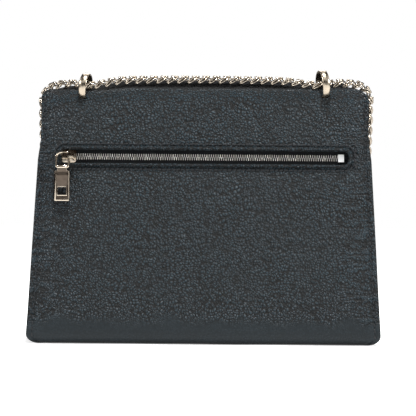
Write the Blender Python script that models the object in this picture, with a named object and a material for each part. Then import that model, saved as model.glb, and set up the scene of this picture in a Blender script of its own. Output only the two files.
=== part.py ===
"""Small leather flap bag with a sliding chain strap, a zip pocket in its back and a turn lock on its flap.

Metres, +Z up. The origin is the middle of the base, on the surface that the bag stands on. The back, with its
zip, faces -Y, and the flap hangs over the front, at +Y. The turn lock is open and the zip is closed.
"""

import math

import bmesh
import bpy
from mathutils import Matrix, Vector

mm = 0.001

# Body of the bag
body_height = 165.0 * mm
base_width = 226.0 * mm
top_narrowing = 13.0 * mm
flare_height = 122.0 * mm
base_depth = 55.0 * mm
back_top_half_depth = 17.0 * mm
front_top_half_depth = 11.5 * mm
roll_radius = 12.0 * mm
base_radius = 10.0 * mm
front_side_inset = 3.0 * mm
shoulder_height = 9.0 * mm
shoulder_inset = 15.5 * mm
foot_height = 5.0 * mm
foot_inset = 7.0 * mm

# Leather and lining
leather = 1.8 * mm
flap_leather_thickness = 1.6 * mm
lining = 1.0 * mm
flap_lining_thickness = 0.9 * mm
gap = 0.3 * mm
seam_gap = 0.3 * mm
overrun = 4.0 * mm

# Front, flap and its two folds
front_below_top = 19.0 * mm
flap_play = 2.0 * mm
flap_drop = 113.0 * mm
flap_corner = 14.0 * mm
flap_hinge_setback = 4.0 * mm
flap_fold_share = 0.5
flap_lining_inset = 4.0 * mm

# Gussets and base
seam_flange = 5.0 * mm
gusset_leather = 1.4 * mm
gusset_bottom = 3.0 * mm
gusset_fold_at_top = 22.0 * mm
gusset_fold_at_base = 7.0 * mm
base_board_thickness = 2.0 * mm
base_board_margin = 6.0 * mm

# Strap loops in the back top edge
loop_inset = 32.0 * mm
loop_radius = 8.0 * mm
loop_band_width = 4.0 * mm
loop_band_thickness = 2.0 * mm
loop_setback = 4.3 * mm
loop_rise = 0.3 * mm
loop_yaw = 17.0
loop_hole_side = 0.8 * mm
loop_hole_face = 0.4 * mm
patch_half_width = 9.0 * mm
patch_thickness = 1.0 * mm
patch_drop = 15.0 * mm

# Zip, in the back, and its pocket
zip_below_top = 45.3 * mm
zip_side_margin = 14.1 * mm
zip_window_height = 9.4 * mm
zip_window_corner = 3.2 * mm
zip_frame_width = 2.2 * mm
zip_frame_thickness = 0.6 * mm
tape_width = 12.0 * mm
tape_thickness = 0.6 * mm
tape_end = 6.0 * mm
tooth_pitch = 1.5 * mm
chain_half_width = 2.05 * mm
tooth_rail_width = 0.7 * mm
tooth_slot = 0.5 * mm
tooth_thickness = 1.7 * mm
stop_length = 3.9 * mm
stop_half_width = 2.5 * mm
top_stop_length = 2.7 * mm
pocket_fabric = 0.5 * mm
pocket_room = 2.1 * mm
pocket_above_base = 45.7 * mm
pocket_narrowing = 0.4 * mm

# Zip slider, its bail and its pull tab
slider_length = 9.6 * mm
slider_half_height = 4.0 * mm
slider_corner = 1.8 * mm
slider_plate = 0.9 * mm
slider_running_gap = 0.3 * mm
slider_flange_drop = 0.55 * mm
slider_flange_width = 0.7 * mm
slider_web = 0.4 * mm
slider_web_length = 5.0 * mm
slider_end_gap = 0.8 * mm
crown_length = 8.0 * mm
crown_post = 1.4 * mm
crown_half_width = 1.6 * mm
crown_thickness = 0.9 * mm
crown_clearance = 0.2 * mm
bail_wire = 1.25 * mm
bail_width = 7.8 * mm
bail_height = 10.3 * mm
bail_corner = 1.3 * mm
bail_stand_off = 2.5 * mm
bail_above_zip = 3.0 * mm
tab_width = 9.8 * mm
tab_length = 21.6 * mm
tab_thickness = 1.8 * mm
tab_corner = 1.2 * mm
tab_rim = 1.1 * mm
tab_recess = 0.35 * mm
tab_tube_radius = 1.4 * mm
tab_tube_clearance = 0.15 * mm
tab_shoulder = 1.6 * mm
tab_face_top = 6.2 * mm
tab_window_width = 5.3 * mm
tab_window_height = 4.9 * mm
tab_window_rim = 0.8 * mm
tab_window_above_foot = 3.9 * mm

# Turn lock on the front, and the plate round its slot in the flap
lock_above_flap_edge = 14.0 * mm
lock_plate_width = 26.0 * mm
lock_plate_height = 16.0 * mm
lock_plate_thickness = 1.0 * mm
lock_backing_thickness = 0.6 * mm
escutcheon_width = 31.0 * mm
escutcheon_height = 21.0 * mm
escutcheon_thickness = 1.0 * mm
slot_width = 19.0 * mm
slot_height = 11.0 * mm
slot_clearance = 0.5 * mm
toggle_length = 16.0 * mm
toggle_width = 4.6 * mm
toggle_thickness = 2.4 * mm
toggle_stem_radius = 2.1 * mm

# Inner pieces
lining_side_clearance = 6.0 * mm
lining_foot = 9.0 * mm
facing_beyond_loops = 12.5 * mm
slip_pocket_inset = 36.5 * mm
slip_pocket_foot = 14.0 * mm
slip_pocket_below_lining = 50.0 * mm
slip_pocket_fabric = 0.8 * mm

# Chain strap: a closed loop that runs through both strap loops
strap_width = 5.5 * mm
strap_spacing_share = 2.7
strap_left = [
    (-68.0, -10.6, 167.0),
    (-74.5, -11.2, 166.8),
    (-84.0, -8.2, 168.4),
    (-91.2, -6.5, 168.1),
    (-97.0, -4.5, 167.4),
    (-102.2, -1.9, 164.7),
    (-105.3, -0.2, 159.6),
    (-106.0, 0.6, 152.0),
    (-105.9, 1.0, 142.0),
    (-105.4, 1.2, 125.0),
    (-105.0, 1.4, 98.0),
    (-105.0, 1.9, 70.0),
    (-105.8, 3.8, 47.0),
    (-109.0, 9.0, 29.0),
    (-112.6, 16.5, 14.5),
]
strap_front = [
    (-114.0, 25.5, 6.6),
    (-114.2, 38.0, 3.2),
    (-113.6, 53.0, 2.8),
    (-110.2, 68.0, 2.8),
    (-102.0, 78.0, 2.8),
    (-89.0, 82.4, 2.8),
    (-60.0, 83.2, 2.8),
    (-20.0, 82.2, 2.8),
    (24.0, 83.0, 2.8),
    (76.0, 82.4, 2.8),
    (84.8, 78.6, 2.8),
    (88.2, 71.2, 2.8),
    (84.8, 63.8, 2.8),
    (76.0, 60.2, 2.8),
    (26.0, 60.8, 2.8),
    (-26.0, 59.8, 2.8),
    (-76.0, 60.2, 2.8),
    (-84.8, 56.4, 2.8),
    (-88.2, 49.2, 2.8),
    (-84.8, 41.9, 2.8),
    (-76.0, 38.2, 2.8),
    (-26.0, 38.6, 2.8),
    (24.0, 37.6, 2.8),
    (66.0, 38.4, 2.8),
    (92.0, 38.6, 2.8),
    (106.0, 35.6, 3.0),
]
strap_right = [
    (113.0, 28.4, 5.0),
    (113.6, 19.5, 10.5),
    (110.4, 11.2, 24.0),
    (106.4, 4.6, 43.0),
    (105.0, 1.9, 70.0),
    (105.5, 1.4, 98.0),
    (106.3, 1.2, 125.0),
    (106.9, 1.0, 142.0),
    (107.0, 0.6, 152.0),
    (106.3, -0.2, 160.4),
    (103.0, -2.0, 165.8),
    (97.4, -4.6, 168.0),
    (91.2, -6.5, 168.4),
    (84.0, -8.2, 168.4),
    (74.5, -11.2, 166.8),
]
strap_top = [
    (68.0, -10.6, 167.0),
    (54.0, -8.6, 168.0),
    (36.0, -7.2, 168.6),
    (14.0, -6.5, 168.9),
    (-10.0, -6.4, 168.9),
    (-34.0, -7.2, 168.6),
    (-54.0, -8.6, 168.0),
]

# Fineness
arc_steps = 6
corner_steps = 4
loop_steps = 24
round_steps = 16
strap_sides = 2
strap_samples = 24
crossing_steps = 40

# Sizes that follow from the ones above
top_width = base_width - top_narrowing
front_height = body_height - front_below_top
flap_bottom = body_height - flap_drop
lock_height = flap_bottom + lock_above_flap_edge
loop_place = top_width / 2 - loop_inset
zip_height = body_height - zip_below_top
zip_window_half = top_width / 2 - zip_side_margin
pocket_depth = zip_height - pocket_above_base
pocket_side = zip_window_half - pocket_narrowing
facing_half_width = loop_place + facing_beyond_loops
slip_pocket_half_width = top_width / 2 - slip_pocket_inset
slip_pocket_top = front_height - slip_pocket_below_lining
back_tilt = math.atan2(base_depth / 2 - back_top_half_depth, body_height - roll_radius)
front_tilt = math.atan2(base_depth / 2 - front_top_half_depth, body_height - roll_radius)
flap_stack = flap_play + flap_lining_thickness + gap + flap_leather_thickness
flap_base_half_depth = base_depth / 2 + flap_stack / math.cos(front_tilt)
zip_plane = leather + gap + tape_thickness / 2
pocket_back = leather + gap + 2 * pocket_fabric + pocket_room
back_lining_depth = pocket_back + gap
front_lining_depth = leather + gap + lock_backing_thickness + gap
slider_middle = slider_length / 2 - zip_window_half + slider_end_gap


def roll_centre(base_half_depth, tilt, radius, height):
    """Distance from the middle plane of an arc's centre at this height, tangent inside to a leaning face."""
    return base_half_depth - (radius + height * math.sin(tilt)) / math.cos(tilt)


back_foot_y = -base_depth / 2 + base_radius * (1 + math.sin(back_tilt)) / math.cos(back_tilt)
front_foot_y = base_depth / 2 - base_radius * (1 + math.sin(front_tilt)) / math.cos(front_tilt)
roll_height = body_height - roll_radius
back_roll_y = -roll_centre(base_depth / 2, back_tilt, roll_radius, roll_height)
flap_roll_y = roll_centre(flap_base_half_depth, front_tilt, roll_radius, roll_height)
hinge_y = back_roll_y + flap_hinge_setback
fold_angle = front_tilt + (math.pi / 2 - front_tilt) * flap_fold_share


def clear_scene():
    for old in list(bpy.data.objects):
        bpy.data.objects.remove(old)


def material(name, colour, roughness, metallic=0.0):
    made = bpy.data.materials.new(name)
    made.use_nodes = True
    shader = made.node_tree.nodes["Principled BSDF"]
    shader.inputs["Base Color"].default_value = (*colour, 1.0)
    shader.inputs["Roughness"].default_value = roughness
    shader.inputs["Metallic"].default_value = metallic
    return made


def add_object(name, data, finish, parent=None, location=(0, 0, 0)):
    made = bpy.data.objects.new(name, data)
    bpy.context.scene.collection.objects.link(made)
    made.location = location
    made.parent = parent
    if finish:
        data.materials.append(finish)
    return made


def add_empty(name, location, turn=None, parent=None):
    made = add_object(name, None, None, parent, location)
    if turn:
        made.rotation_euler = turn.to_euler()
    return made


def make_cutter(cutter):
    cutter.hide_render = True
    cutter.display_type = "WIRE"
    return cutter


def cut(target, *cutters):
    for cutter in cutters:
        step = target.modifiers.new("cut " + cutter.name, "BOOLEAN")
        step.operation = "DIFFERENCE"
        step.object = cutter


def join(target, *others):
    """Unites closed shapes with the target, which keeps them as hidden guides."""
    for other in others:
        make_cutter(other)
        step = target.modifiers.new("join " + other.name, "BOOLEAN")
        step.operation = "UNION"
        step.object = other


def mesh_from(name, rings, closed_length=False):
    """A closed mesh through rings of equally many points, with flat ends unless the length closes."""
    bm = bmesh.new()
    rows = [[bm.verts.new(point) for point in ring] for ring in rings]
    count = len(rows[0])
    spans = len(rows) if closed_length else len(rows) - 1
    for i in range(spans):
        this_row = rows[i]
        next_row = rows[(i + 1) % len(rows)]
        for k in range(count):
            n = (k + 1) % count
            bm.faces.new((this_row[k], this_row[n], next_row[n], next_row[k]))
    if not closed_length:
        bm.faces.new(rows[0])
        bm.faces.new(rows[-1])
    bmesh.ops.recalc_face_normals(bm, faces=bm.faces)
    mesh = bpy.data.meshes.new(name)
    bm.to_mesh(mesh)
    bm.free()
    return mesh


def smooth(made, limit=35.0):
    made.data.shade_smooth()
    made.data.set_sharp_from_angle(angle=math.radians(limit))
    return made


def arc(centre, radius, start, end, steps=arc_steps):
    """Points of an arc in a plane, from one angle to another in degrees, ends included."""
    angles = [math.radians(start + (end - start) * i / steps) for i in range(steps + 1)]
    return [(centre[0] + radius * math.cos(a), centre[1] + radius * math.sin(a)) for a in angles]


def arc_heading(angle):
    """The direction of travel on an arc at an angle in degrees, going clockwise."""
    return Vector((math.sin(math.radians(angle)), -math.cos(math.radians(angle))))


def offset_path(path, distance, headings=(None, None)):
    """The path moved to the right of its direction, with mitred corners and ends square to their headings."""
    moved = []
    for i, point in enumerate(path):
        here = Vector(point)
        before = (here - Vector(path[i - 1])).normalized() if i else headings[0]
        after = (Vector(path[i + 1]) - here).normalized() if i + 1 < len(path) else headings[1]
        if headings[0] and not i:
            after = before
        if headings[1] and i + 1 == len(path):
            before = after
        first = before or after
        second = after or before
        along = (first + second).normalized()
        side = Vector((along.y, -along.x))
        moved.append(tuple(here + side * distance / along.dot(first)))
    return moved


def strip(name, path, halves, thickness, finish, depth=0.0, middle=0.0, parent=None, origin=(0, 0), **ends):
    """A sheet that follows a side-view path (y, z). Its outer face is the path moved in by depth."""
    outer = offset_path(path, depth, **ends)
    inner = offset_path(path, depth + thickness, **ends)
    rings = []
    for (y, z), (y2, z2), half in zip(outer, inner, halves):
        y, z, y2, z2 = y - origin[0], z - origin[1], y2 - origin[0], z2 - origin[1]
        low, high = middle - half, middle + half
        rings.append([(low, y, z), (high, y, z), (high, y2, z2), (low, y2, z2)])
    return add_object(name, mesh_from(name, rings), finish, parent)


def rounded(half_width, half_height, radius, centre=(0, 0), steps=corner_steps):
    """Outline of a rectangle with round corners, in a plane."""
    points = []
    for turn, sx, sy in ((0, 1, 1), (90, -1, 1), (180, -1, -1), (270, 1, -1)):
        corner = (centre[0] + sx * (half_width - radius), centre[1] + sy * (half_height - radius))
        points += arc(corner, radius, turn, turn + 90, steps)
    return points


def plate(name, outline, low, high, finish, parent=None, location=(0, 0, 0)):
    """A flat piece from an outline in its parent's XY plane, between two heights."""
    rings = [[(x, y, low) for x, y in outline], [(x, y, high) for x, y in outline]]
    return add_object(name, mesh_from(name, rings), finish, parent, location)


def block(name, low, high, finish, parent=None, location=(0, 0, 0)):
    outline = [(low[0], low[1]), (high[0], low[1]), (high[0], high[1]), (low[0], high[1])]
    return plate(name, outline, low[2], high[2], finish, parent, location)


def rod(name, radius, start, end, finish, parent=None, location=(0, 0, 0), steps=round_steps):
    """A round bar between two points."""
    start, end = Vector(start), Vector(end)
    turn = (end - start).to_track_quat("Z", "Y")
    circle = [Vector((x, y, 0)) for x, y in arc((0, 0), radius, 0, 360, steps)[:-1]]
    rings = [[turn @ point + place for point in circle] for place in (start, end)]
    return smooth(add_object(name, mesh_from(name, rings), finish, parent, location))


def band_loop(name, radius, width, thickness, finish, parent, chamfer=0.0, location=(0, 0, 0)):
    """A round flat band that turns about its parent's X axis."""
    w, t, c = width / 2, thickness / 2, chamfer
    corners = [(w, t), (w, -t), (-w, -t), (-w, t)]
    if chamfer:
        right = [(w - c, t), (w, t - c), (w, c - t), (w - c, -t)]
        corners = right + [(-x, r) for x, r in right[::-1]]
    rings = []
    for i in range(loop_steps):
        angle = math.tau * i / loop_steps
        y, z = math.cos(angle), math.sin(angle)
        rings.append([(x, (radius + r) * y, (radius + r) * z) for x, r in corners])
    return smooth(add_object(name, mesh_from(name, rings, closed_length=True), finish, parent, location))


def side_half_width(z):
    """Half the width of the bag at a height, with its rounded shoulders and feet."""
    half = top_width / 2 + (base_width - top_width) / 2 * max(0.0, 1 - z / flare_height)
    up = min(1.0, max(0.0, (z - body_height + shoulder_height) / shoulder_height))
    down = min(1.0, max(0.0, (foot_height - z) / foot_height))
    half -= shoulder_inset * (1 - math.sqrt(1 - up * up))
    return half - foot_inset * (1 - math.sqrt(1 - down * down))


def leaning_y(z, base_half_depth, tilt):
    return base_half_depth - z * math.tan(tilt)


def wall_y(z, depth, tilt, foot_y):
    """How far out a wall's surface is at a height, at some depth into it, round its foot too."""
    if z >= base_radius:
        return leaning_y(z, base_depth / 2, tilt) - depth / math.cos(tilt)
    inner = base_radius - depth
    rise = base_radius - z
    bulge = math.sqrt(max(0.0, inner * inner - rise * rise)) if inner > rise else 0.0
    return abs(foot_y) + bulge


def back_path():
    """The back's outer side view, from the base up and over the roll to the flap's hinge."""
    tilt = math.degrees(back_tilt)
    foot = arc((back_foot_y, base_radius), base_radius, 270, 180 - tilt)
    roll = arc((back_roll_y, roll_height), roll_radius, 180 - tilt, 90)
    return foot + roll + [(hinge_y - seam_gap / 2, body_height)]


def face_line(low, high, base_half_depth, tilt, sign, steps=4):
    heights = [low + (high - low) * i / steps for i in range(steps + 1)]
    return [(sign * leaning_y(z, base_half_depth, tilt), z) for z in heights]


def face_frame(name, height, tilt, sign, parent=None):
    """An empty on a leaning wall: X along the bag, Y up the wall, Z straight out of it."""
    out = Vector((0, sign * math.cos(tilt), math.sin(tilt)))
    up = Vector((0, -sign * math.sin(tilt), math.cos(tilt)))
    across = up.cross(out)
    turn = Matrix((across, up, out)).transposed()
    place = Vector((0, sign * leaning_y(height, base_depth / 2, tilt), height))
    if parent:
        place -= parent.location
    return add_empty(name, place, turn, parent)


def make_body(finishes):
    outside, inside, board = finishes["leather"], finishes["lining"], finishes["board"]
    path = back_path()
    back = strip("back_panel", path, [side_half_width(z) for _, z in path], leather, outside)
    tilt = math.degrees(front_tilt)
    lowest = base_radius + foot_height
    line = face_line(front_height, lowest, base_depth / 2, front_tilt, 1)
    path = line + arc((front_foot_y, base_radius), base_radius, tilt, -90)
    halves = [side_half_width(z) - front_side_inset for _, z in path]
    strip("front_panel", path, halves, leather, outside)
    base_half = side_half_width(0)
    low, high = back_foot_y + seam_gap, front_foot_y - seam_gap
    block("bottom_panel", (-base_half, low, 0), (base_half, high, leather), outside)
    half, floor = base_half - base_board_margin, leather + gap
    block("base_board", (-half, low, floor), (half, high, floor + base_board_thickness), board)
    make_gussets(outside)
    make_linings(inside, outside)
    return back


def gusset_section(z, depth):
    """Outline of the right gusset at a height: two seam flanges and a fold that leans in between them."""
    root = leather + gap + gusset_leather - depth
    back_y = -wall_y(z, root, back_tilt, back_foot_y)
    front_y = wall_y(z, root, front_tilt, front_foot_y)
    half = side_half_width(z)
    share = z / front_height
    fold = gusset_fold_at_base + (gusset_fold_at_top - gusset_fold_at_base) * share
    front_half = half - front_side_inset
    return [
        (half, back_y),
        (half - seam_flange, back_y),
        (half - fold, 0.0),
        (front_half - seam_flange, front_y),
        (front_half, front_y),
    ]


def make_gussets(finish):
    heights = [gusset_bottom, foot_height, base_radius]
    steps = 5
    heights += [base_radius + (front_height - base_radius) * i / steps for i in range(1, steps + 1)]
    for side, name in ((1, "gusset_right"), (-1, "gusset_left")):
        rings = []
        for z in heights:
            outer = gusset_section(z, 0.0)
            inner = offset_path(outer, -gusset_leather)
            rings.append([(side * x, y, z) for x, y in outer + inner[::-1]])
        add_object(name, mesh_from(name, rings), finish)


def make_linings(fabric, outside):
    line = face_line(lining_foot, front_height, base_depth / 2, back_tilt, -1)
    halves = [side_half_width(z) - seam_flange - lining_side_clearance for _, z in line]
    strip("lining_back", line, halves, lining, fabric, depth=back_lining_depth)
    line = face_line(front_height, lining_foot, base_depth / 2, front_tilt, 1)
    narrower = [half - front_side_inset for half in halves[::-1]]
    strip("lining_front", line, narrower, lining, fabric, depth=front_lining_depth)
    half = halves[0]
    floor = leather + gap + base_board_thickness + gap
    low, high = back_foot_y + seam_gap, front_foot_y - seam_gap
    block("lining_base", (-half, low, floor), (half, high, floor + lining), fabric)
    line = face_line(slip_pocket_foot, slip_pocket_top, base_depth / 2, back_tilt, -1)
    halves = [slip_pocket_half_width for _ in line]
    depth = back_lining_depth + lining + gap
    strip("slip_pocket", line, halves, slip_pocket_fabric, fabric, depth=depth)
    # The facing closes the roll from below, clear of the strap loops inside it.
    under = leather + gap + patch_thickness + gap
    start = -leaning_y(front_height, base_depth / 2, back_tilt) + back_lining_depth
    path = [
        (start, front_height + gap),
        (start + lining, front_height + roll_radius / 2),
        (hinge_y - roll_radius / 4, body_height - under - roll_radius / 4),
        (hinge_y - seam_gap, body_height - under),
    ]
    strip("top_facing", path, [facing_half_width] * len(path), lining, outside)


def loop_crossing(centre_y, centre_z, outside, inside):
    """Where a loop passes the middle of the rolled leather, in its own plane, between two of its angles."""
    for _ in range(crossing_steps):
        angle = math.radians((outside + inside) / 2)
        along, rise = loop_radius * math.cos(angle), loop_radius * math.sin(angle)
        y = centre_y + along * math.cos(math.radians(loop_yaw))
        if math.hypot(y - back_roll_y, centre_z + rise - roll_height) > roll_radius - leather / 2:
            outside = math.degrees(angle)
        else:
            inside = math.degrees(angle)
    return Vector((0, along, rise))


def make_loops(finishes, back):
    """Two round bands through the back top edge, each with its patch of reinforcement.

    A band leans about the line through its two holes.
    """
    centre_y = back_roll_y - roll_radius + loop_setback
    centre_z = body_height + loop_rise
    inward = math.degrees(math.atan2(roll_height - centre_z, back_roll_y - centre_y))
    in_back = loop_crossing(centre_y, centre_z, -180, inward)
    on_top = loop_crossing(centre_y, centre_z, 0, inward)
    between = (in_back + on_top) / 2
    lean = math.atan2(on_top.z - in_back.z, on_top.y - in_back.y)
    tilt = math.degrees(back_tilt)
    roll = arc((back_roll_y, roll_height), roll_radius, 180 - tilt, 90)
    top_y = hinge_y - seam_gap / 2
    face = [(-leaning_y(body_height - patch_drop, base_depth / 2, back_tilt), body_height - patch_drop)]
    for side, word in ((-1, "left"), (1, "right")):
        turn = Matrix.Rotation(math.radians(side * loop_yaw), 3, "Z")
        centre = Vector((side * loop_place, centre_y, centre_z))
        seat = add_empty("loop_seat_" + word, centre, turn)
        leaned = Matrix.Rotation(lean, 3, "X")
        axis = add_empty("loop_axis_" + word, centre + turn @ between, turn @ leaned)
        sizes = (loop_radius, loop_band_width, loop_band_thickness)
        place = leaned.inverted() @ -between
        band_loop("strap_loop_" + word, *sizes, finishes["nickel"], axis, loop_band_thickness / 4, place)
        wide, thick = loop_band_width + 2 * loop_hole_side, loop_band_thickness + 2 * loop_hole_face
        hole = make_cutter(band_loop("loop_hole_" + word, loop_radius, wide, thick, None, seat))
        path = face + roll + [(top_y, body_height)]
        halves = [patch_half_width] * len(path)
        inner = leather + gap
        middle = side * loop_place
        patch = strip("loop_patch_" + word, path, halves, patch_thickness, finishes["board"], inner, middle)
        cut(back, hole)
        cut(patch, hole)


def make_flap(finishes, lock):
    """The flap in two stretches, each leather over lining, that turn about the hinge and about the fold."""
    top_leather, inside = finishes["leather"], finishes["lining"]
    hinge = add_empty("flap_hinge", (0, hinge_y, body_height))
    degrees = math.degrees(fold_angle)
    out, up = roll_radius * math.cos(fold_angle), roll_radius * math.sin(fold_angle)
    fold = (flap_roll_y + out, roll_height + up)
    fold_place = add_empty("flap_fold", (0, *fold))
    half_gap = math.degrees(seam_gap / 2 / roll_radius)
    start = [(hinge_y + seam_gap / 2, body_height)]
    top_path = start + arc((flap_roll_y, roll_height), roll_radius, 90, degrees + half_gap, arc_steps // 2)
    roll_end = math.degrees(front_tilt)
    corner_turns = [math.radians(a) for a in (90, 60, 40, 20, 0)]
    corner_heights = [flap_bottom + flap_corner * (1 - math.cos(a)) for a in corner_turns]
    low_face = [(leaning_y(z, flap_base_half_depth, front_tilt), z) for z in corner_heights]
    front_path = arc((flap_roll_y, roll_height), roll_radius, degrees - half_gap, roll_end, arc_steps // 2)
    front_path += low_face
    under = flap_leather_thickness + gap
    layers = (
        ("", top_leather, 0.0, flap_leather_thickness, 0.0),
        ("_lining", inside, under, flap_lining_thickness, flap_lining_inset),
    )
    hinge_place = (hinge_y, body_height)
    made = []
    for word, finish, depth, thickness, inset in layers:
        halves = [side_half_width(z) - inset for _, z in top_path]
        ends = (arc_heading(90), arc_heading(degrees + half_gap))
        layer = (thickness, finish, depth, 0.0)
        strip("flap_top" + word, top_path, halves, *layer, hinge, hinge_place, headings=ends)
        halves = [side_half_width(z) - inset - flap_rounding(z) for _, z in front_path]
        ends = (arc_heading(degrees - half_gap), None)
        made.append(strip("flap_front" + word, front_path, halves, *layer, fold_place, fold, headings=ends))
    depth = flap_stack + overrun
    slot = rounded(slot_width / 2 + slot_clearance, slot_height / 2 + slot_clearance, slot_height / 4)
    hole = make_cutter(plate("flap_slot", slot, lock_plate_thickness, depth, None, lock))
    for piece in made:
        cut(piece, hole)
    return fold_place


def flap_rounding(z):
    """How much narrower than the bag the flap is at a height, near its lower corners."""
    down = min(1.0, max(0.0, (flap_bottom + flap_corner - z) / flap_corner))
    return flap_corner * (1 - math.sqrt(1 - down * down))


def make_lock(finishes, lock, on_flap):
    """The lock's base, backing and turning bar on the front, and the plate that rides on the flap."""
    metal = finishes["nickel"]
    foot = gap
    top = foot + lock_plate_thickness
    base = rounded(lock_plate_width / 2, lock_plate_height / 2, lock_plate_height / 2 - gap)
    smooth(plate("lock_base", base, foot, top, metal, lock))
    behind = -leather - gap
    smooth(plate("lock_backing", base, behind - lock_backing_thickness, behind, metal, lock))
    face = flap_stack + gap
    outline = rounded(escutcheon_width / 2, escutcheon_height / 2, escutcheon_height / 2 - gap, steps=6)
    escutcheon = smooth(plate("lock_escutcheon", outline, face, face + escutcheon_thickness, metal, on_flap))
    slot = rounded(slot_width / 2, slot_height / 2, slot_height / 4)
    cut(escutcheon, make_cutter(plate("escutcheon_slot", slot, face - overrun, face + overrun, None, lock)))
    wing_low = face + escutcheon_thickness + gap
    wing_high = wing_low + toggle_thickness
    wing = rounded(toggle_length / 2, toggle_width / 2, toggle_width / 2 - gap)
    toggle = smooth(plate("lock_toggle", wing, wing_low, wing_high, metal, lock))
    stem_top = wing_low + toggle_thickness / 2
    join(toggle, rod("toggle_stem", toggle_stem_radius, (0, 0, top + gap), (0, 0, stem_top), None, lock))


def make_zip(finishes, back, face):
    """The zip in its window: frame, tapes, rows of teeth and stops, and the pocket behind it."""
    leather_finish, tape, metal = finishes["leather"], finishes["tape"], finishes["nickel"]
    window = rounded(zip_window_half, zip_window_height / 2, zip_window_corner)
    hole = make_cutter(plate("zip_window", window, -leather - overrun, overrun, None, face))
    cut(back, hole)
    outer_half, outer_height = zip_window_half + zip_frame_width, zip_window_height / 2 + zip_frame_width
    outline = rounded(outer_half, outer_height, zip_window_corner + zip_frame_width)
    cut(plate("zip_frame", outline, gap, gap + zip_frame_thickness, leather_finish, face), hole)
    end = zip_window_half + tape_end
    near, far = chain_half_width + gap, chain_half_width + gap + tape_width
    high = -zip_plane + tape_thickness / 2
    low = high - tape_thickness
    block("zip_tape_upper", (-end, near, low), (end, far, high), tape, face)
    block("zip_tape_lower", (-end, -far, low), (end, -near, high), tape, face)
    first = slider_middle - slider_length / 2
    last = zip_window_half - stop_length - gap - zip_window_corner
    for side, word in ((1, "upper"), (-1, "lower")):
        tooth_row("zip_teeth_" + word, first, last, side, metal, face)
        a = (first - gap - top_stop_length, tooth_slot, -zip_plane - tooth_thickness / 2)
        b = (first - gap, chain_half_width, -leather - gap)
        near_v, far_v = sorted((side * a[1], side * b[1]))
        low_corner, high_corner = (a[0], near_v, a[2]), (b[0], far_v, b[2])
        block("zip_top_stop_" + word, low_corner, high_corner, metal, face)
    start = last + gap
    low_corner = (start, -stop_half_width, -zip_plane + tape_thickness / 2 + gap)
    high_corner = (start + stop_length, stop_half_width, -zip_plane + tooth_thickness / 2 + gap)
    block("zip_bottom_stop", low_corner, high_corner, metal, face)
    make_zip_pocket(finishes["lining"], face, far)


def tooth_row(name, first, last, side, finish, face):
    """One row of teeth on its bead, as a rail with one pointed tooth for each pitch."""
    count = int((last - first) / tooth_pitch)
    pitch = (last - first) / count
    outer, root = side * chain_half_width, side * (chain_half_width - tooth_rail_width)
    tip = side * tooth_slot
    outline = [(last, outer), (first, outer)]
    for i in range(count):
        outline.append((first + pitch * i, root))
        outline.append((first + pitch * (i + 1 / 2), tip))
    outline.append((last, root))
    low = -zip_plane - tooth_thickness / 2
    plate(name, outline, low, low + tooth_thickness, finish, face)


def make_zip_pocket(finish, face, tape_reach):
    """A flat fabric bag: its outer sheet hangs from the lower tape, and its inner sheet from the upper."""
    outer = -leather - gap
    inner = -pocket_back
    turn = (outer - inner) / 2
    foot = -pocket_depth
    path = [(tape_reach, inner), (foot, inner)]
    for a in (math.pi / 3, math.pi * 2 / 3):
        path.append((foot - turn * math.sin(a), inner + turn * (1 - math.cos(a))))
    path += [(foot, outer), (-tape_reach - gap, outer)]
    inside = offset_path(path, pocket_fabric)
    rings = []
    for (v, n), (v2, n2) in zip(path, inside):
        corners = ((-1, v, n), (1, v, n), (1, v2, n2), (-1, v2, n2))
        rings.append([(side * pocket_side, up, out) for side, up, out in corners])
    add_object("zip_pocket_lining", mesh_from("zip_pocket_lining", rings), finish, face)


def make_slider(finishes, face):
    """The slider over the teeth, the wire bail through its crown, and the pull tab on the bail."""
    metal = finishes["nickel"]
    place = (slider_middle, 0, -zip_plane)
    half_teeth = tooth_thickness / 2
    low = half_teeth + slider_running_gap
    high = low + slider_plate
    top = rounded(slider_length / 2, slider_half_height, slider_corner)
    slider = smooth(plate("zip_slider", top, low, high, metal, face, place))
    sunk = slider_plate / 2
    corner = Vector((slider_web_length / 2, slider_web / 2, low + sunk))
    parts = [block("slider_web", -corner, corner, None, face, place)]
    narrow = slider_half_height - slider_flange_width
    under = rounded(slider_length / 2, narrow, slider_corner)
    parts.append(plate("slider_under", under, -high, -low, None, face, place))
    flange_half = slider_length / 2 - slider_corner
    for side in (-1, 1):
        v = sorted((side * narrow, side * slider_half_height))
        a, b = (-flange_half, v[0], low - slider_flange_drop), (flange_half, v[1], low + sunk)
        parts.append(block("slider_flange", a, b, None, face, place))
    bail_n = bail_stand_off + zip_plane
    bridge_low = bail_n + bail_wire / 2 + crown_clearance
    bridge_high = bridge_low + crown_thickness
    end = crown_length / 2
    for side in (-1, 1):
        u = sorted((side * end, side * (end - crown_post)))
        a, b = (u[0], -crown_half_width, high - sunk), (u[1], crown_half_width, bridge_high)
        parts.append(block("crown_post", a, b, None, face, place))
    inner = end - crown_post / 2
    a, b = (-inner, -crown_half_width, bridge_low), (inner, crown_half_width, bridge_high)
    parts.append(block("crown_bridge", a, b, None, face, place))
    join(slider, *parts)
    arm = add_empty("bail_axis", (0, bail_above_zip, bail_n), None, slider)
    make_bail(metal, arm)
    tab_place = (-bail_width / 2, -bail_height, 0)
    make_tab(metal, add_empty("tab_axis", tab_place, None, arm))


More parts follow.
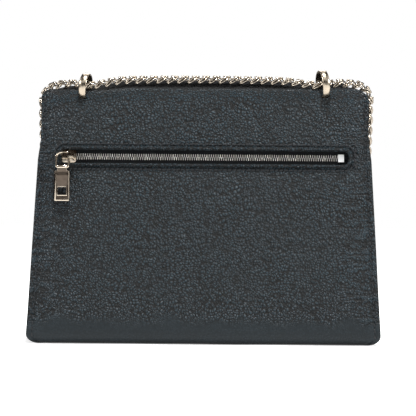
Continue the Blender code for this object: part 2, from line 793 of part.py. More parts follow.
def make_bail(finish, arm):
    """A wire loop whose right arm runs through the crown and is the axis that it turns about."""
    half, drop = bail_width / 2, bail_height / 2
    outline = rounded(half, drop, bail_corner, (-half, -drop), corner_steps - 1)
    curve = bpy.data.curves.new("pull_bail", "CURVE")
    curve.dimensions = "3D"
    curve.bevel_depth = bail_wire / 2
    curve.bevel_resolution = 2
    curve.use_fill_caps = True
    line = curve.splines.new("POLY")
    line.points.add(len(outline) - 1)
    for point, (x, y) in zip(line.points, outline):
        point.co = (x, y, 0, 1)
    line.use_cyclic_u = True
    add_object("pull_bail", curve, finish, arm)


def make_tab(finish, axis):
    """A rimmed tab with a square window, on a tube that turns round the bail's lower bar."""
    half = tab_width / 2
    middle = -tab_shoulder - (tab_length - tab_shoulder) / 2
    height = (tab_length - tab_shoulder) / 2
    thick = tab_thickness / 2
    outline = rounded(half, height, tab_corner, (0, middle))
    tab = plate("pull_tab", outline, -thick, thick, finish, axis)
    tube_half = bail_width / 2 - bail_corner
    tube = rod("tab_tube", tab_tube_radius, (-tube_half, 0, 0), (tube_half, 0, 0), None, axis)
    neck_foot = -tab_shoulder - tab_corner
    neck = block("tab_neck", (-tube_half, neck_foot, -thick), (tube_half, 0, thick), None, axis)
    join(tab, tube, neck)
    bore = rod("tab_bore", bail_wire / 2 + tab_tube_clearance, (-half, 0, 0), (half, 0, 0), None, axis)
    window_y = -tab_length + tab_window_above_foot + tab_window_height / 2
    window = rounded(tab_window_width / 2, tab_window_height / 2, tab_corner / 2, (0, window_y), 2)
    hole = plate("tab_window", window, -overrun, overrun, None, axis)
    high = thick - tab_recess
    face_low = window_y + tab_window_height / 2 + tab_window_rim
    face_half = (-tab_face_top - face_low) / 2
    face = rounded(half - tab_rim, face_half, tab_corner / 2, (0, face_low + face_half), 2)
    recess = plate("tab_recess", face, high, overrun, None, axis)
    cut(tab, make_cutter(bore), make_cutter(hole), make_cutter(recess))


def spline_point(points, i, share):
    """A point on the smooth closed curve through the points, part of the way from one to the next."""
    a, b, c, d = (points[(i + k) % len(points)] for k in (-1, 0, 1, 2))
    knots = [0.0]
    for p, q in ((a, b), (b, c), (c, d)):
        knots.append(knots[-1] + math.sqrt((q - p).length))
    t = knots[1] + (knots[2] - knots[1]) * share

    def blend(p, q, low, high):
        return p * ((high - t) / (high - low)) + q * ((t - low) / (high - low))

    ab, bc, cd = blend(a, b, *knots[0:2]), blend(b, c, *knots[1:3]), blend(c, d, *knots[2:4])
    abc, bcd = blend(ab, bc, knots[0], knots[2]), blend(bc, cd, knots[1], knots[3])
    return blend(abc, bcd, knots[1], knots[2])


def even_points(line, spacing):
    """Points at even distances along a fine line."""
    lengths = [0.0]
    for p, q in zip(line, line[1:]):
        lengths.append(lengths[-1] + (q - p).length)
    count = max(2, round(lengths[-1] / spacing))
    result, k = [], 0
    for i in range(count + 1):
        target = lengths[-1] * i / count
        while k < len(line) - 2 and lengths[k + 1] < target:
            k += 1
        share = (target - lengths[k]) / (lengths[k + 1] - lengths[k])
        result.append(line[k].lerp(line[k + 1], share))
    return result, lengths[-1]


def squared_end(points, heading):
    """The points with their first stretch along a heading, so that the next stretch meets it face to face."""
    heading = heading.normalized()
    return [points[0] + heading * gap / 2, points[0] + heading * strap_width / 2] + points[1:]


def make_strap(finish):
    stretches = {
        "strap_left": strap_left,
        "strap_front": strap_front,
        "strap_right": strap_right,
        "strap_top": strap_top,
    }
    route = [Vector(point) * mm for stretch in stretches.values() for point in stretch]
    start, whole = 0, 0.0
    for name, stretch in stretches.items():
        line = [
            spline_point(route, i, k / strap_samples)
            for i in range(start, start + len(stretch))
            for k in range(strap_samples)
        ]
        line.append(route[(start + len(stretch)) % len(route)])
        points, length = even_points(line, strap_width * strap_spacing_share)
        whole += length
        start += len(stretch)
        points = squared_end(squared_end(points, line[1] - line[0])[::-1], line[-2] - line[-1])[::-1]
        curve = bpy.data.curves.new(name, "CURVE")
        curve.dimensions = "3D"
        curve.bevel_depth = strap_width / 2
        curve.bevel_resolution = strap_sides
        curve.use_fill_caps = True
        tube = curve.splines.new("POLY")
        tube.points.add(len(points) - 1)
        for knot, point in zip(tube.points, points):
            knot.co = (*point, 1)
        add_object(name, curve, finish)
    print(f"chain strap: {whole:.4f} m round its loop")


def main():
    clear_scene()
    finishes = {
        "leather": material("pebbled dark blue leather", (0.042, 0.054, 0.062), 0.55),
        "lining": material("dark microfibre lining", (0.03, 0.033, 0.04), 0.85),
        "board": material("grey stiffener board", (0.32, 0.31, 0.29), 0.8),
        "tape": material("black zip tape", (0.012, 0.013, 0.016), 0.8),
        "nickel": material("polished pale nickel", (0.75, 0.72, 0.68), 0.18, 1.0),
        "strap": material("pale nickel chain", (0.66, 0.62, 0.56), 0.3, 1.0),
    }
    back = make_body(finishes)
    face = face_frame("back_face", zip_height, back_tilt, -1)
    lock = face_frame("lock_axis", lock_height, front_tilt, 1)
    make_zip(finishes, back, face)
    make_slider(finishes, face)
    make_loops(finishes, back)
    fold = make_flap(finishes, lock)
    make_lock(finishes, lock, face_frame("lock_on_flap", lock_height, front_tilt, 1, fold))
    make_strap(finishes["strap"])


main()
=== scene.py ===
import math

import bmesh
import bpy
from mathutils import Matrix, Vector, noise


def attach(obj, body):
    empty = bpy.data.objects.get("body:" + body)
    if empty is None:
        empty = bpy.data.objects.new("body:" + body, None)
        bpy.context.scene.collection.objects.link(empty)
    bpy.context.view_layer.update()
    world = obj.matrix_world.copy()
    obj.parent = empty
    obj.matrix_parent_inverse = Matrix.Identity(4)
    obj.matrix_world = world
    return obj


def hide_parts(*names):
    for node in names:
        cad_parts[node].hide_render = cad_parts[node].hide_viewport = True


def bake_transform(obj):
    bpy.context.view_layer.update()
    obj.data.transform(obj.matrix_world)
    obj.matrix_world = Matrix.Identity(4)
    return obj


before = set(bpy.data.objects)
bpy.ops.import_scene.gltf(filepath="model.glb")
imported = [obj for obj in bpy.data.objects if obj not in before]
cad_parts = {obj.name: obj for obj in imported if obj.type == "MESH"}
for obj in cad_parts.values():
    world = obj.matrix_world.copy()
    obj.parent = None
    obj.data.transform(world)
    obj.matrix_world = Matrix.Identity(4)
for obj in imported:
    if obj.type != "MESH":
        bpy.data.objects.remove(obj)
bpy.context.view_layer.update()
mm = 0.001  # sizes below are written in millimetres, and become metres when a mesh is made

# small helpers for nodes


def linearColour(hexCode):
    parts = [int(hexCode[i:i + 2], 16) / 255 for i in (1, 3, 5)]
    parts = [c / 12.92 if c <= 0.04045 else ((c + 0.055) / 1.055) ** 2.4 for c in parts]
    return (*parts, 1.0)


def addNode(tree, kind, settings=None, inputs=None):
    # one node with its settings; an input is linked if it is a socket, and set if it is a value
    node = tree.nodes.new(kind)
    for name, value in (settings or {}).items():
        setattr(node, name, value)
    for name, value in (inputs or {}).items():
        if isinstance(value, bpy.types.NodeSocket):
            tree.links.new(value, node.inputs[name])
        else:
            node.inputs[name].default_value = value
    return node


def firstOut(tree, kind, settings=None, inputs=None):
    return addNode(tree, kind, settings, inputs).outputs[0]


def maths(tree, operation, *values):
    return firstOut(tree, "ShaderNodeMath", {"operation": operation}, dict(enumerate(values)))


def vectors(tree, operation, *values):
    return firstOut(tree, "ShaderNodeVectorMath", {"operation": operation}, dict(enumerate(values)))


def scaled(tree, vector, factor):
    return firstOut(tree, "ShaderNodeVectorMath", {"operation": "SCALE"}, {0: vector, "Scale": factor})


def ranged(tree, value, low, high, toLow=0.0, toHigh=1.0, smooth=False):
    kind = "SMOOTHSTEP" if smooth else "LINEAR"
    return firstOut(tree, "ShaderNodeMapRange", {"interpolation_type": kind},
                    {"Value": value, "From Min": low, "From Max": high, "To Min": toLow, "To Max": toHigh})


def noiseOf(tree, where, size, detail):
    inputs = {"Vector": where, "Scale": 1 / size, "Detail": detail}
    return addNode(tree, "ShaderNodeTexNoise", None, inputs).outputs


def mixedValue(tree, factor, a, b):
    return firstOut(tree, "ShaderNodeMix", None, {"Factor": factor, "A": a, "B": b})


def mixedColour(tree, factor, a, b):
    a, b = (linearColour(colour) if isinstance(colour, str) else colour for colour in (a, b))
    return addNode(tree, "ShaderNodeMix", {"data_type": "RGBA"}, {"Factor": factor, 6: a, 7: b}).outputs[2]


def objectMillimetres(tree):
    # Object coordinates in millimetres, so that a pattern's scale is one over its real size
    return scaled(tree, addNode(tree, "ShaderNodeTexCoord").outputs["Object"], 1000.0)


def newFinish(name, sockets):
    finish = bpy.data.materials.new(name)
    finish.use_nodes = True
    shader = finish.node_tree.nodes["Principled BSDF"]
    for socket, value in sockets.items():
        shader.inputs[socket].default_value = value
    return finish, finish.node_tree, shader


def dress(tree, shader, colour, height, strength, distance):
    # links a colour and a bump, whose distance is in millimetres
    bump = addNode(tree, "ShaderNodeBump", None,
                   {"Height": height, "Strength": strength, "Distance": distance * mm})
    tree.links.new(colour, shader.inputs["Base Color"])
    tree.links.new(bump.outputs["Normal"], shader.inputs["Normal"])


# small helpers for shapes


def clamp(value, low=0.0, high=1.0):
    return max(low, min(high, value))


def smoothStep(value, low, high):
    t = clamp((value - low) / (high - low))
    return t * t * (3 - 2 * t)


def newObject(name, mesh):
    made = bpy.data.objects.new(name, mesh)
    bpy.context.scene.collection.objects.link(made)
    return made


def meshFrom(name, points, faces, finishes=(), slots=None):
    mesh = bpy.data.meshes.new(name)
    mesh.from_pydata([Vector(p) * mm for p in points], [], faces)
    for finish in finishes:
        mesh.materials.append(finish)
    if slots:
        mesh.polygons.foreach_set("material_index", slots)
    bm = bmesh.new()
    bm.from_mesh(mesh)
    bmesh.ops.recalc_face_normals(bm, faces=bm.faces)
    bm.to_mesh(mesh)
    bm.free()
    return newObject(name, mesh)


def settle(obj, sharpAngle=40.0):
    # the evaluated shape becomes the piece's own mesh, and its modifiers go
    depsgraph = bpy.context.evaluated_depsgraph_get()
    mesh = bpy.data.meshes.new_from_object(obj.evaluated_get(depsgraph))
    obj.modifiers.clear()
    old = obj.data
    obj.data = mesh
    mesh.name = obj.name
    if old.users == 0:
        bpy.data.meshes.remove(old)
    mesh.shade_smooth()
    mesh.set_sharp_from_angle(angle=math.radians(sharpAngle))
    return obj


def bevelled(obj, width, steps=2, angle=50.0):
    step = obj.modifiers.new("rounded edges", "BEVEL")
    step.width = width * mm
    step.segments = steps
    step.limit_method = "ANGLE"
    step.angle_limit = math.radians(angle)
    step.use_clamp_overlap = True
    return obj


def cutOut(obj, *cutters):
    for cutter in cutters:
        step = obj.modifiers.new("cut", "BOOLEAN")
        step.operation = "DIFFERENCE"
        step.object = cutter
    settle(obj)
    for cutter in cutters:
        bpy.data.objects.remove(cutter)
    return obj


def keep(obj, body, slot, *nodes):
    # body is a body's name, which the piece is attached to, or the two names and two places of a soft piece; such
    # a piece only has its placement baked into its mesh, and nothing bends it
    if isinstance(body, str):
        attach(obj, body)
    else:
        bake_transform(obj)
    if nodes:
        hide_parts(*nodes)


def circle(count):
    return [(math.cos(math.tau * k / count), math.sin(math.tau * k / count)) for k in range(count)]


def arc(centre, radius, start, end, steps):
    angles = [math.radians(start + (end - start) * i / steps) for i in range(steps + 1)]
    return [(centre[0] + radius * math.cos(a), centre[1] + radius * math.sin(a)) for a in angles]


def roundedOutline(halfWidth, halfHeight, radius, steps=6, centre=(0, 0)):
    points = []
    for turn, sx, sy in ((0, 1, 1), (90, -1, 1), (180, -1, -1), (270, 1, -1)):
        corner = (centre[0] + sx * (halfWidth - radius), centre[1] + sy * (halfHeight - radius))
        points += arc(corner, radius, turn, turn + 90, steps)
    return points


def evenLine(line, spacing):
    # a line resampled so that its points are about one spacing apart
    lengths = [0.0]
    for a, b in zip(line, line[1:]):
        lengths.append(lengths[-1] + (Vector(b) - Vector(a)).length)
    count = max(2, round(lengths[-1] / spacing))
    result, k = [], 0
    for i in range(count + 1):
        target = lengths[-1] * i / count
        while k < len(line) - 2 and lengths[k + 1] < target:
            k += 1
        share = (target - lengths[k]) / max(1e-9, lengths[k + 1] - lengths[k])
        result.append(tuple(Vector(line[k]).lerp(Vector(line[k + 1]), share)))
    return result


def acrossPlaces(half, edgeSteps, spacing):
    # places from the left edge to the right, close together near the edges for the seam
    inner = half - edgeSteps[-1]
    count = max(2, 2 * round(inner / spacing))
    middle = [-inner + 2 * inner * i / count for i in range(1, count)]
    left = [-half + step for step in edgeSteps]
    return left + middle + [-x for x in left[::-1]]


def gridNormals(grid, flip):
    rows, columns = len(grid), len(grid[0])
    result = []
    for i in range(rows):
        line = []
        for j in range(columns):
            along = grid[min(i + 1, rows - 1)][j] - grid[max(i - 1, 0)][j]
            across = grid[i][min(j + 1, columns - 1)] - grid[i][max(j - 1, 0)]
            normal = along.cross(across).normalized()
            line.append(-normal if flip else normal)
        result.append(line)
    return result


def closedSheet(name, grid, thickness, finishes, flip=False, bevel=0.0):
    # a skin from a grid of outer points: its inner face lies one thickness in, and its border is closed
    rows, columns = len(grid), len(grid[0])
    outer = [p for row in grid for p in row]
    normals = [n for line in gridNormals(grid, flip) for n in line]
    inner = [p - n * thickness for p, n in zip(outer, normals)]
    size = rows * columns
    faces, slots = [], []
    for i in range(rows - 1):
        for j in range(columns - 1):
            a, d = i * columns + j, (i + 1) * columns + j
            faces += [(a, a + 1, d + 1, d), (d + size, d + 1 + size, a + 1 + size, a + size)]
            slots += [0, min(1, len(finishes) - 1)]
    rim = list(range(columns)) + [i * columns + columns - 1 for i in range(1, rows)]
    rim += [(rows - 1) * columns + j for j in range(columns - 2, -1, -1)]
    rim += [i * columns for i in range(rows - 2, 0, -1)]
    for a, b in zip(rim, rim[1:] + rim[:1]):
        faces.append((a, a + size, b + size, b))
        slots.append(2 if len(finishes) > 2 else 0)
    return settle(bevelled(meshFrom(name, outer + inner, faces, finishes, slots), bevel))


def sweptRing(name, rings, finishes=(), closed=True):
    # a skin over rings of equally many points; an open one gets an end face at each end
    count = len(rings[0])
    points = [p for ring in rings for p in ring]
    faces = []
    for i in range(len(rings) if closed else len(rings) - 1):
        a, b = i * count, (i + 1) % len(rings) * count
        faces += [(a + k, a + (k + 1) % count, b + (k + 1) % count, b + k) for k in range(count)]
    if not closed:
        faces += [tuple(range(count)), tuple(range(len(points) - 1, len(points) - count - 1, -1))]
    return meshFrom(name, points, faces, finishes)


def plateFrom(name, outline, low, high, place):
    # a flat piece from an outline, between two heights, put where place says
    return sweptRing(name, [[place(u, v, n) for u, v in outline] for n in (low, high)], closed=False)


def wireRing(line, section, place):
    # rings of a section, given as places (outwards, up), along a closed flat line
    rings = []
    for i, (u, v) in enumerate(line):
        along = (Vector(line[(i + 1) % len(line)]) - Vector(line[i - 1])).normalized()
        rings.append([place(u + along.y * d, v - along.x * d, h) for d, h in section])
    return rings


def merged(name, pieces, finishes=()):
    bm = bmesh.new()
    for piece in pieces:
        bm.from_mesh(piece.data)
        bpy.data.objects.remove(piece)
    mesh = bpy.data.meshes.new(name)
    bm.to_mesh(mesh)
    bm.free()
    mesh.materials.clear()
    for finish in finishes:
        mesh.materials.append(finish)
    return newObject(name, mesh)


def carved(node, name, width, steps):
    # a copy of a hard solid with its doubles merged, its flat faces joined and its edges rounded
    bm = bmesh.new()
    bm.from_mesh(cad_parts[node].data)
    bmesh.ops.remove_doubles(bm, verts=bm.verts, dist=0.002 * mm)
    bmesh.ops.dissolve_limit(bm, angle_limit=math.radians(1.0), verts=bm.verts, edges=bm.edges)
    mesh = bpy.data.meshes.new(name)
    bm.to_mesh(mesh)
    bm.free()
    return settle(bevelled(newObject(name, mesh), width, steps, 35.0), 30.0)


# the bag's own measures

bag = {
    "height": 165.0,
    "baseWidth": 226.0,
    "topWidth": 213.0,
    "flareHeight": 122.0,
    "baseDepth": 55.0,
    "backTopHalfDepth": 17.0,
    "frontTopHalfDepth": 11.5,
    "rollRadius": 12.0,
    "baseRadius": 10.0,
    "frontSideInset": 3.0,
    "shoulderHeight": 9.0,
    "shoulderInset": 15.5,
    "footHeight": 6.5,
    "footInset": 8.5,
    "leather": 1.8,
    "gap": 0.3,
    "frontHeight": 146.0,
    "drawnIn": 1.6,  # how far the upper sides are drawn in where the chain runs down beside them
}
halfBase = bag["baseDepth"] / 2
rollHeight = bag["height"] - bag["rollRadius"]
backTilt = math.atan2(halfBase - bag["backTopHalfDepth"], rollHeight)
frontTilt = math.atan2(halfBase - bag["frontTopHalfDepth"], rollHeight)


def drawnIn(z):
    return bag["drawnIn"] * smoothStep(z, 118.0, 132.0)


def roundedOff(share):
    # how far a quarter circle of radius 1 has turned in at a share of its height
    return 1 - math.sqrt(1 - share * share)


def sideHalf(z):
    half = bag["topWidth"] / 2 + (bag["baseWidth"] - bag["topWidth"]) / 2 * max(0.0, 1 - z / bag["flareHeight"])
    up = clamp((z - bag["height"] + bag["shoulderHeight"]) / bag["shoulderHeight"])
    down = clamp((bag["footHeight"] - z) / bag["footHeight"])
    half -= bag["shoulderInset"] * roundedOff(up) + drawnIn(z) * (1 - up)
    return half - bag["footInset"] * roundedOff(down)


def wallY(z, tilt, base=halfBase):
    return base - z * math.tan(tilt)


def rollCentre(base, tilt):
    return base - (bag["rollRadius"] + rollHeight * math.sin(tilt)) / math.cos(tilt)


def footY(tilt):
    return halfBase - bag["baseRadius"] * (1 + math.sin(tilt)) / math.cos(tilt)


def faceFrame(height, tilt, sign):
    # turns places on a leaning wall (along, up, out) into places in the bag
    out = Vector((0, sign * math.cos(tilt), math.sin(tilt)))
    up = Vector((0, -sign * math.sin(tilt), math.cos(tilt)))
    turn = Matrix((up.cross(out), up, out)).transposed().to_4x4()
    return Matrix.Translation((0, sign * wallY(height, tilt), height)) @ turn


# camera

shot = {
    "lens": 135.0,
    "sensor": 36.0,
    "pixels": 416,
    "pixel": 0.639,  # width of a pixel of the photograph at the back of the bag
    "centre": (2.35, 87.2),
    "backFace": -19.3,
    "roll": 0.45,
}


def makeCamera():
    data = bpy.data.cameras.new("camera")
    data.lens = shot["lens"]
    data.sensor_width = shot["sensor"]
    camera = newObject("camera", data)
    distance = shot["pixels"] * shot["pixel"] * shot["lens"] / shot["sensor"]
    x, z = shot["centre"]
    camera.location = Vector((x, shot["backFace"] - distance, z)) * mm
    camera.rotation_euler = (math.radians(90), math.radians(-shot["roll"]), 0)
    bpy.context.scene.camera = camera


makeCamera()
print("camera placed")

# finishes

calfLook = {
    "colour": "#22323a",
    # near-black colour painted into the creases as their shade
    "creaseShade": "#010202",
    # colour of the shadow painted on the crest under the chain
    "worn": "#050607",
    "grain": 1.65,
    "relief": 2.3,
    "baseBand": (4.0, 12.0),  # heights between which the grain fades out towards the base
    "wrinkle": 2.0,
    "seamward": (78.0, 102.0),  # distance from the middle over which the wrinkles come in
    # where that painted shadow lies: front to back round the chain, and the heights over which it comes in
    "wornAlong": (-12.5, -9.0, -2.0, 2.0),
    "chainShadowAbove": (160.5, 163.5),
}


def makePebbledCalf(name, look):
    # shrunken calf, drum dyed: soft pebbles with shade painted into the creases between them, a dull wax shine on
    # their tops, and an almost smooth band where the hide is pulled tight over the edge of the base; a shadow is
    # painted on the crest where the chain lies
    finish, tree, shader = newFinish(name, {"IOR": 1.48, "Specular IOR Level": 0.3})
    here = objectMillimetres(tree)
    x, y, z = addNode(tree, "ShaderNodeSeparateXYZ", None, {0: here}).outputs
    drift = noiseOf(tree, here, 14, 2.0)
    pulled = vectors(tree, "SUBTRACT", drift["Color"], (0.5, 0.5, 0.5))
    pulled = vectors(tree, "MULTIPLY_ADD", pulled, (6.0, 6.0, 6.0), here)
    wobbled = vectors(tree, "MULTIPLY_ADD", noiseOf(tree, here, 3.0, 1.0)["Color"], (0.9, 0.9, 0.9), pulled)
    stretched = firstOut(tree, "ShaderNodeMapping", None, {"Vector": wobbled, "Scale": (1.0, 1.0, 0.95)})
    cells = {"Vector": stretched, "Scale": 1 / look["grain"], "Randomness": 0.9}
    pebbles = firstOut(tree, "ShaderNodeTexVoronoi", {"feature": "SMOOTH_F1"}, {**cells, "Smoothness": 0.35})
    creases = firstOut(tree, "ShaderNodeTexVoronoi", {"feature": "DISTANCE_TO_EDGE"}, cells)
    domes = maths(tree, "MULTIPLY", ranged(tree, pebbles, 0.05, 0.85, 1.0, 0.0),
                  ranged(tree, creases, 0.0, 0.16, 0.25, 1.0, smooth=True))
    pores = noiseOf(tree, stretched, 0.5, 2.0)["Fac"]
    # near the side seams the hide is drawn into level wrinkles
    flattened = firstOut(tree, "ShaderNodeMapping", None,
                         {"Vector": wobbled, "Scale": (1 / 9, 1 / 9, 1 / look["wrinkle"])})
    wrinkles = ranged(tree, noiseOf(tree, flattened, 1.0, 1.0)["Fac"], 0.3, 0.7, -0.5, 0.5)
    seamward = ranged(tree, maths(tree, "ABSOLUTE", x), *look["seamward"], 0.15, 0.75, smooth=True)
    grained = maths(tree, "ADD", domes, maths(tree, "MULTIPLY", wrinkles, seamward))
    height = maths(tree, "MULTIPLY_ADD", pores, 0.25, grained)
    ragged = maths(tree, "MULTIPLY_ADD", drift["Fac"], -16.0, z)
    tight = ranged(tree, ragged, *look["baseBand"], 0.12, 1.0, smooth=True)
    patches = noiseOf(tree, here, 26, 3.0)["Fac"]
    strength = maths(tree, "MULTIPLY", tight, ranged(tree, patches, 0.35, 0.65, 0.75, 1.0))
    # painted shade: the colour falls towards the crease colour as the pebbles' height falls, and in the tight band
    # it leans to a fixed share of it
    shade = mixedValue(tree, strength, 0.25, ranged(tree, height, 0.32, 0.85))
    toned = scaled(tree, mixedColour(tree, shade, look["creaseShade"], look["colour"]),
                   ranged(tree, patches, 0.3, 0.7, 0.9, 1.1))
    # painted shadow: the crest is darkened and dulled where the chain lies on it, in place of the chain's contact
    # shadow
    start, full, fading, end = look["wornAlong"]
    worn = maths(tree, "MULTIPLY", ranged(tree, y, start, full, smooth=True),
                 ranged(tree, y, fading, end, 1.0, 0.0, smooth=True))
    worn = maths(tree, "MULTIPLY", worn, ranged(tree, z, *look["chainShadowAbove"], smooth=True))
    dress(tree, shader, mixedColour(tree, worn, toned, look["worn"]), maths(tree, "MULTIPLY", height, strength),
          1.0, look["relief"])
    dulled = mixedValue(tree, worn, ranged(tree, shade, 0.0, 1.0, 0.72, 0.3), 1.0)
    tree.links.new(dulled, shader.inputs["Roughness"])
    return finish


def makeFlecked(name, sockets, size, detail, dark, pale, bump, distance, brushing=None):
    # two tones that a noise of a size in millimetres mixes and raises; brushing lays a broader noise over them
    finish, tree, shader = newFinish(name, sockets)
    here = objectMillimetres(tree)
    height = noiseOf(tree, here, size, detail)["Fac"]
    tone = maths(tree, "MULTIPLY", height, noiseOf(tree, here, brushing, 2.0)["Fac"]) if brushing else height
    dress(tree, shader, mixedColour(tree, tone, dark, pale), height, bump, distance)
    return finish


def makeZipTape():
    # polyester herringbone zip tape: fine ribs that slant one way and then the other, a dull black
    finish, tree, shader = newFinish("polyester herringbone tape", {"Roughness": 0.85, "Specular IOR Level": 0.15})
    x, y, z = addNode(tree, "ShaderNodeSeparateXYZ", None, {0: objectMillimetres(tree)}).outputs
    # real ribs are 0.5 mm apart; they are drawn 0.7 mm apart so that they show
    slanted = maths(tree, "ADD", x, maths(tree, "PINGPONG", z, 1.4))
    height = ranged(tree, maths(tree, "SINE", maths(tree, "MULTIPLY", slanted, math.tau / 0.7)), -1.0, 1.0)
    dress(tree, shader, mixedColour(tree, height, "#050607", "#16191b"), height, 0.8, 0.12)
    return finish


def makeNickel(name, colour, darker, roughness, brushing, metallic=1.0):
    # pale nickel plate over brass: mirror bright, a trace of yellow, with fine polishing marks and handling haze
    finish, tree, shader = newFinish(name, {"Metallic": metallic})
    here = objectMillimetres(tree)
    haze = noiseOf(tree, here, 3.0, 3.0)["Fac"]
    rough = ranged(tree, haze, 0.3, 0.7, roughness * 0.8, roughness * 1.3)
    tree.links.new(rough, shader.inputs["Roughness"])
    marks = noiseOf(tree, here, 0.3, 2.0)["Fac"]
    dress(tree, shader, mixedColour(tree, haze, darker, colour), marks, brushing, 0.01)
    return finish


calf = makePebbledCalf("pebbled shrunken calf", calfLook)
# acrylic edge paint, brushed on in coats: thick, nearly black, softly shining and a little wavy
edgePaint = makeFlecked("brushed edge paint", {"Roughness": 0.38}, 1.6, 1.0, "#171c1f", "#171c1f", 0.5, 0.1)
# skived flesh side of calf: matt suede-like fibres, a little paler than the dyed face
flesh = makeFlecked("skived flesh side", {"Roughness": 0.92, "Sheen Weight": 0.25}, 0.7, 4.0,
                    "#24292c", "#3a4144", 0.6, 0.15)
# knitted microfibre lining with a brushed face: soft nap that lightens at its edges
microfibre = makeFlecked("brushed microfibre", {"Roughness": 0.95, "Sheen Weight": 0.4, "Sheen Roughness": 0.5},
                         0.6, 3.0, "#23262b", "#4a4e56", 0.5, 0.08, brushing=18)
# bonded polyester thread, dyed to the leather: nearly black, with a low gloss on its round back
thread = makeFlecked("bonded polyester thread", {"Roughness": 0.5}, 0.4, 1.0, "#06080b", "#12171c", 0.0, 0.1)
# pressed cellulose stiffener board: grey, matt and finely flecked
board = makeFlecked("cellulose stiffener board", {"Roughness": 0.85}, 1.2, 4.0, "#77746d", "#a5a199", 0.0, 0.1)
zipTape = makeZipTape()
# slider, bail, tab and lock: mirror bright and warm
nickel = makeNickel("polished pale nickel", "#d6cbbb", "#b8ab99", 0.14, 0.3)
# teeth: whiter and less mirror-like, so that each stands out from the black tape
teethNickel = makeNickel("stamped bright nickel", "#ffffff", "#efe9dd", 0.24, 0.2, 0.5)
# stops: nearly white, with a dull soft sheen
stopAluminium = makeNickel("pale tumbled aluminium", "#ffffff", "#f4f6f4", 0.4, 0.2, 0.35)
# the tab's sunk face: a satin finish between its bright rims, its darker colour a painted dark reflection
darkReflectionSatin = makeNickel("satin nickel", "#6c6258", "#3f3730", 0.36, 0.6)
# links: bright, a little darker than the polish and slightly cloudy from tumbling
chainNickel = makeNickel("tumbled pale nickel", "#b3a99b", "#857c70", 0.17, 0.4)
# the loops' bands: darker than the polish, with the softer gleam of metal that a chain rubs
loopNickel = makeNickel("chain-rubbed pale nickel", "#b9ad9b", "#94897a", 0.24, 0.4)
leatherFinishes = (calf, flesh, edgePaint)
print("finishes made")

# Geometry Nodes for what repeats


def newRowTree(name, **sockets):
    tree = bpy.data.node_groups.new(name, "GeometryNodeTree")
    for socket, kind in {"Geometry": "Geometry", "Shape": "Object", **sockets, "Finish": "Material"}.items():
        tree.interface.new_socket(socket, in_out="INPUT", socket_type="NodeSocket" + kind)
    tree.interface.new_socket("Geometry", in_out="OUTPUT", socket_type="NodeSocketGeometry")
    given = addNode(tree, "NodeGroupInput").outputs
    line = firstOut(tree, "GeometryNodeMeshToCurve", None, {"Mesh": given["Geometry"]})
    facing = firstOut(tree, "GeometryNodeInputNamedAttribute", {"data_type": "FLOAT_VECTOR"}, {"Name": "facing"})
    return tree, given, line, facing


def rowCopies(tree, given, points, turns=None):
    shape = addNode(tree, "GeometryNodeObjectInfo", {"transform_space": "ORIGINAL"}, {"Object": given["Shape"]})
    inputs = {"Points": points, "Instance": shape.outputs["Geometry"]}
    if turns:
        inputs["Rotation"] = turns
    return firstOut(tree, "GeometryNodeRealizeInstances", None,
                    {0: firstOut(tree, "GeometryNodeInstanceOnPoints", None, inputs)})


def endRow(tree, given, geometry):
    painted = firstOut(tree, "GeometryNodeSetMaterial", None, {"Geometry": geometry, "Material": given["Finish"]})
    addNode(tree, "NodeGroupOutput", None, {0: painted})
    return tree


def makeRowTree():
    # puts a shape at even steps along lines whose points know which way they face
    tree, given, line, facing = newRowTree("row along a line", Pitch="Float", Slant="Float")
    steps = firstOut(tree, "GeometryNodeResampleCurve", {"mode": "LENGTH"},
                     {"Curve": line, "Length": given["Pitch"]})
    heading = firstOut(tree, "GeometryNodeInputTangent")
    turn = firstOut(tree, "FunctionNodeAxesToRotation", {"primary_axis": "X", "secondary_axis": "Z"},
                    {0: heading, 1: facing})
    slant = firstOut(tree, "ShaderNodeCombineXYZ", None, {"Z": given["Slant"]})
    slant = firstOut(tree, "FunctionNodeEulerToRotation", None, {0: slant})
    turned = firstOut(tree, "FunctionNodeRotateRotation", {"rotation_space": "LOCAL"}, {0: turn, 1: slant})
    return endRow(tree, given, rowCopies(tree, given, steps, turned))


def makeBentRowTree():
    # lays a shape at even steps along a straight line, and then bends the whole row along a curve
    tree, given, curve, facing = newRowTree("row bent along a curve", Count="Int", Pitch="Float")
    step = firstOut(tree, "ShaderNodeCombineXYZ", None, {"X": given["Pitch"]})
    straight = firstOut(tree, "GeometryNodeMeshLine", {"mode": "OFFSET"},
                        {"Count": given["Count"], "Offset": step})
    real = rowCopies(tree, given, straight)
    position = firstOut(tree, "GeometryNodeInputPosition")
    x, y, z = addNode(tree, "ShaderNodeSeparateXYZ", None, {0: position}).outputs
    along = maths(tree, "FLOORED_MODULO", x, firstOut(tree, "GeometryNodeCurveLength", None, {0: curve}))
    sample = addNode(tree, "GeometryNodeSampleCurve", {"mode": "LENGTH", "data_type": "FLOAT_VECTOR"},
                     {"Curves": curve, "Value": facing, "Length": along}).outputs
    out = vectors(tree, "NORMALIZE", sample["Value"])
    across = scaled(tree, vectors(tree, "CROSS_PRODUCT", out, sample["Tangent"]), y)
    offset = vectors(tree, "ADD", across, scaled(tree, out, z))
    bent = vectors(tree, "ADD", sample["Position"], offset)
    moved = firstOut(tree, "GeometryNodeSetPosition", None, {"Geometry": real, "Position": bent})
    return endRow(tree, given, moved)


rowTree = makeRowTree()
bentRowTree = makeBentRowTree()


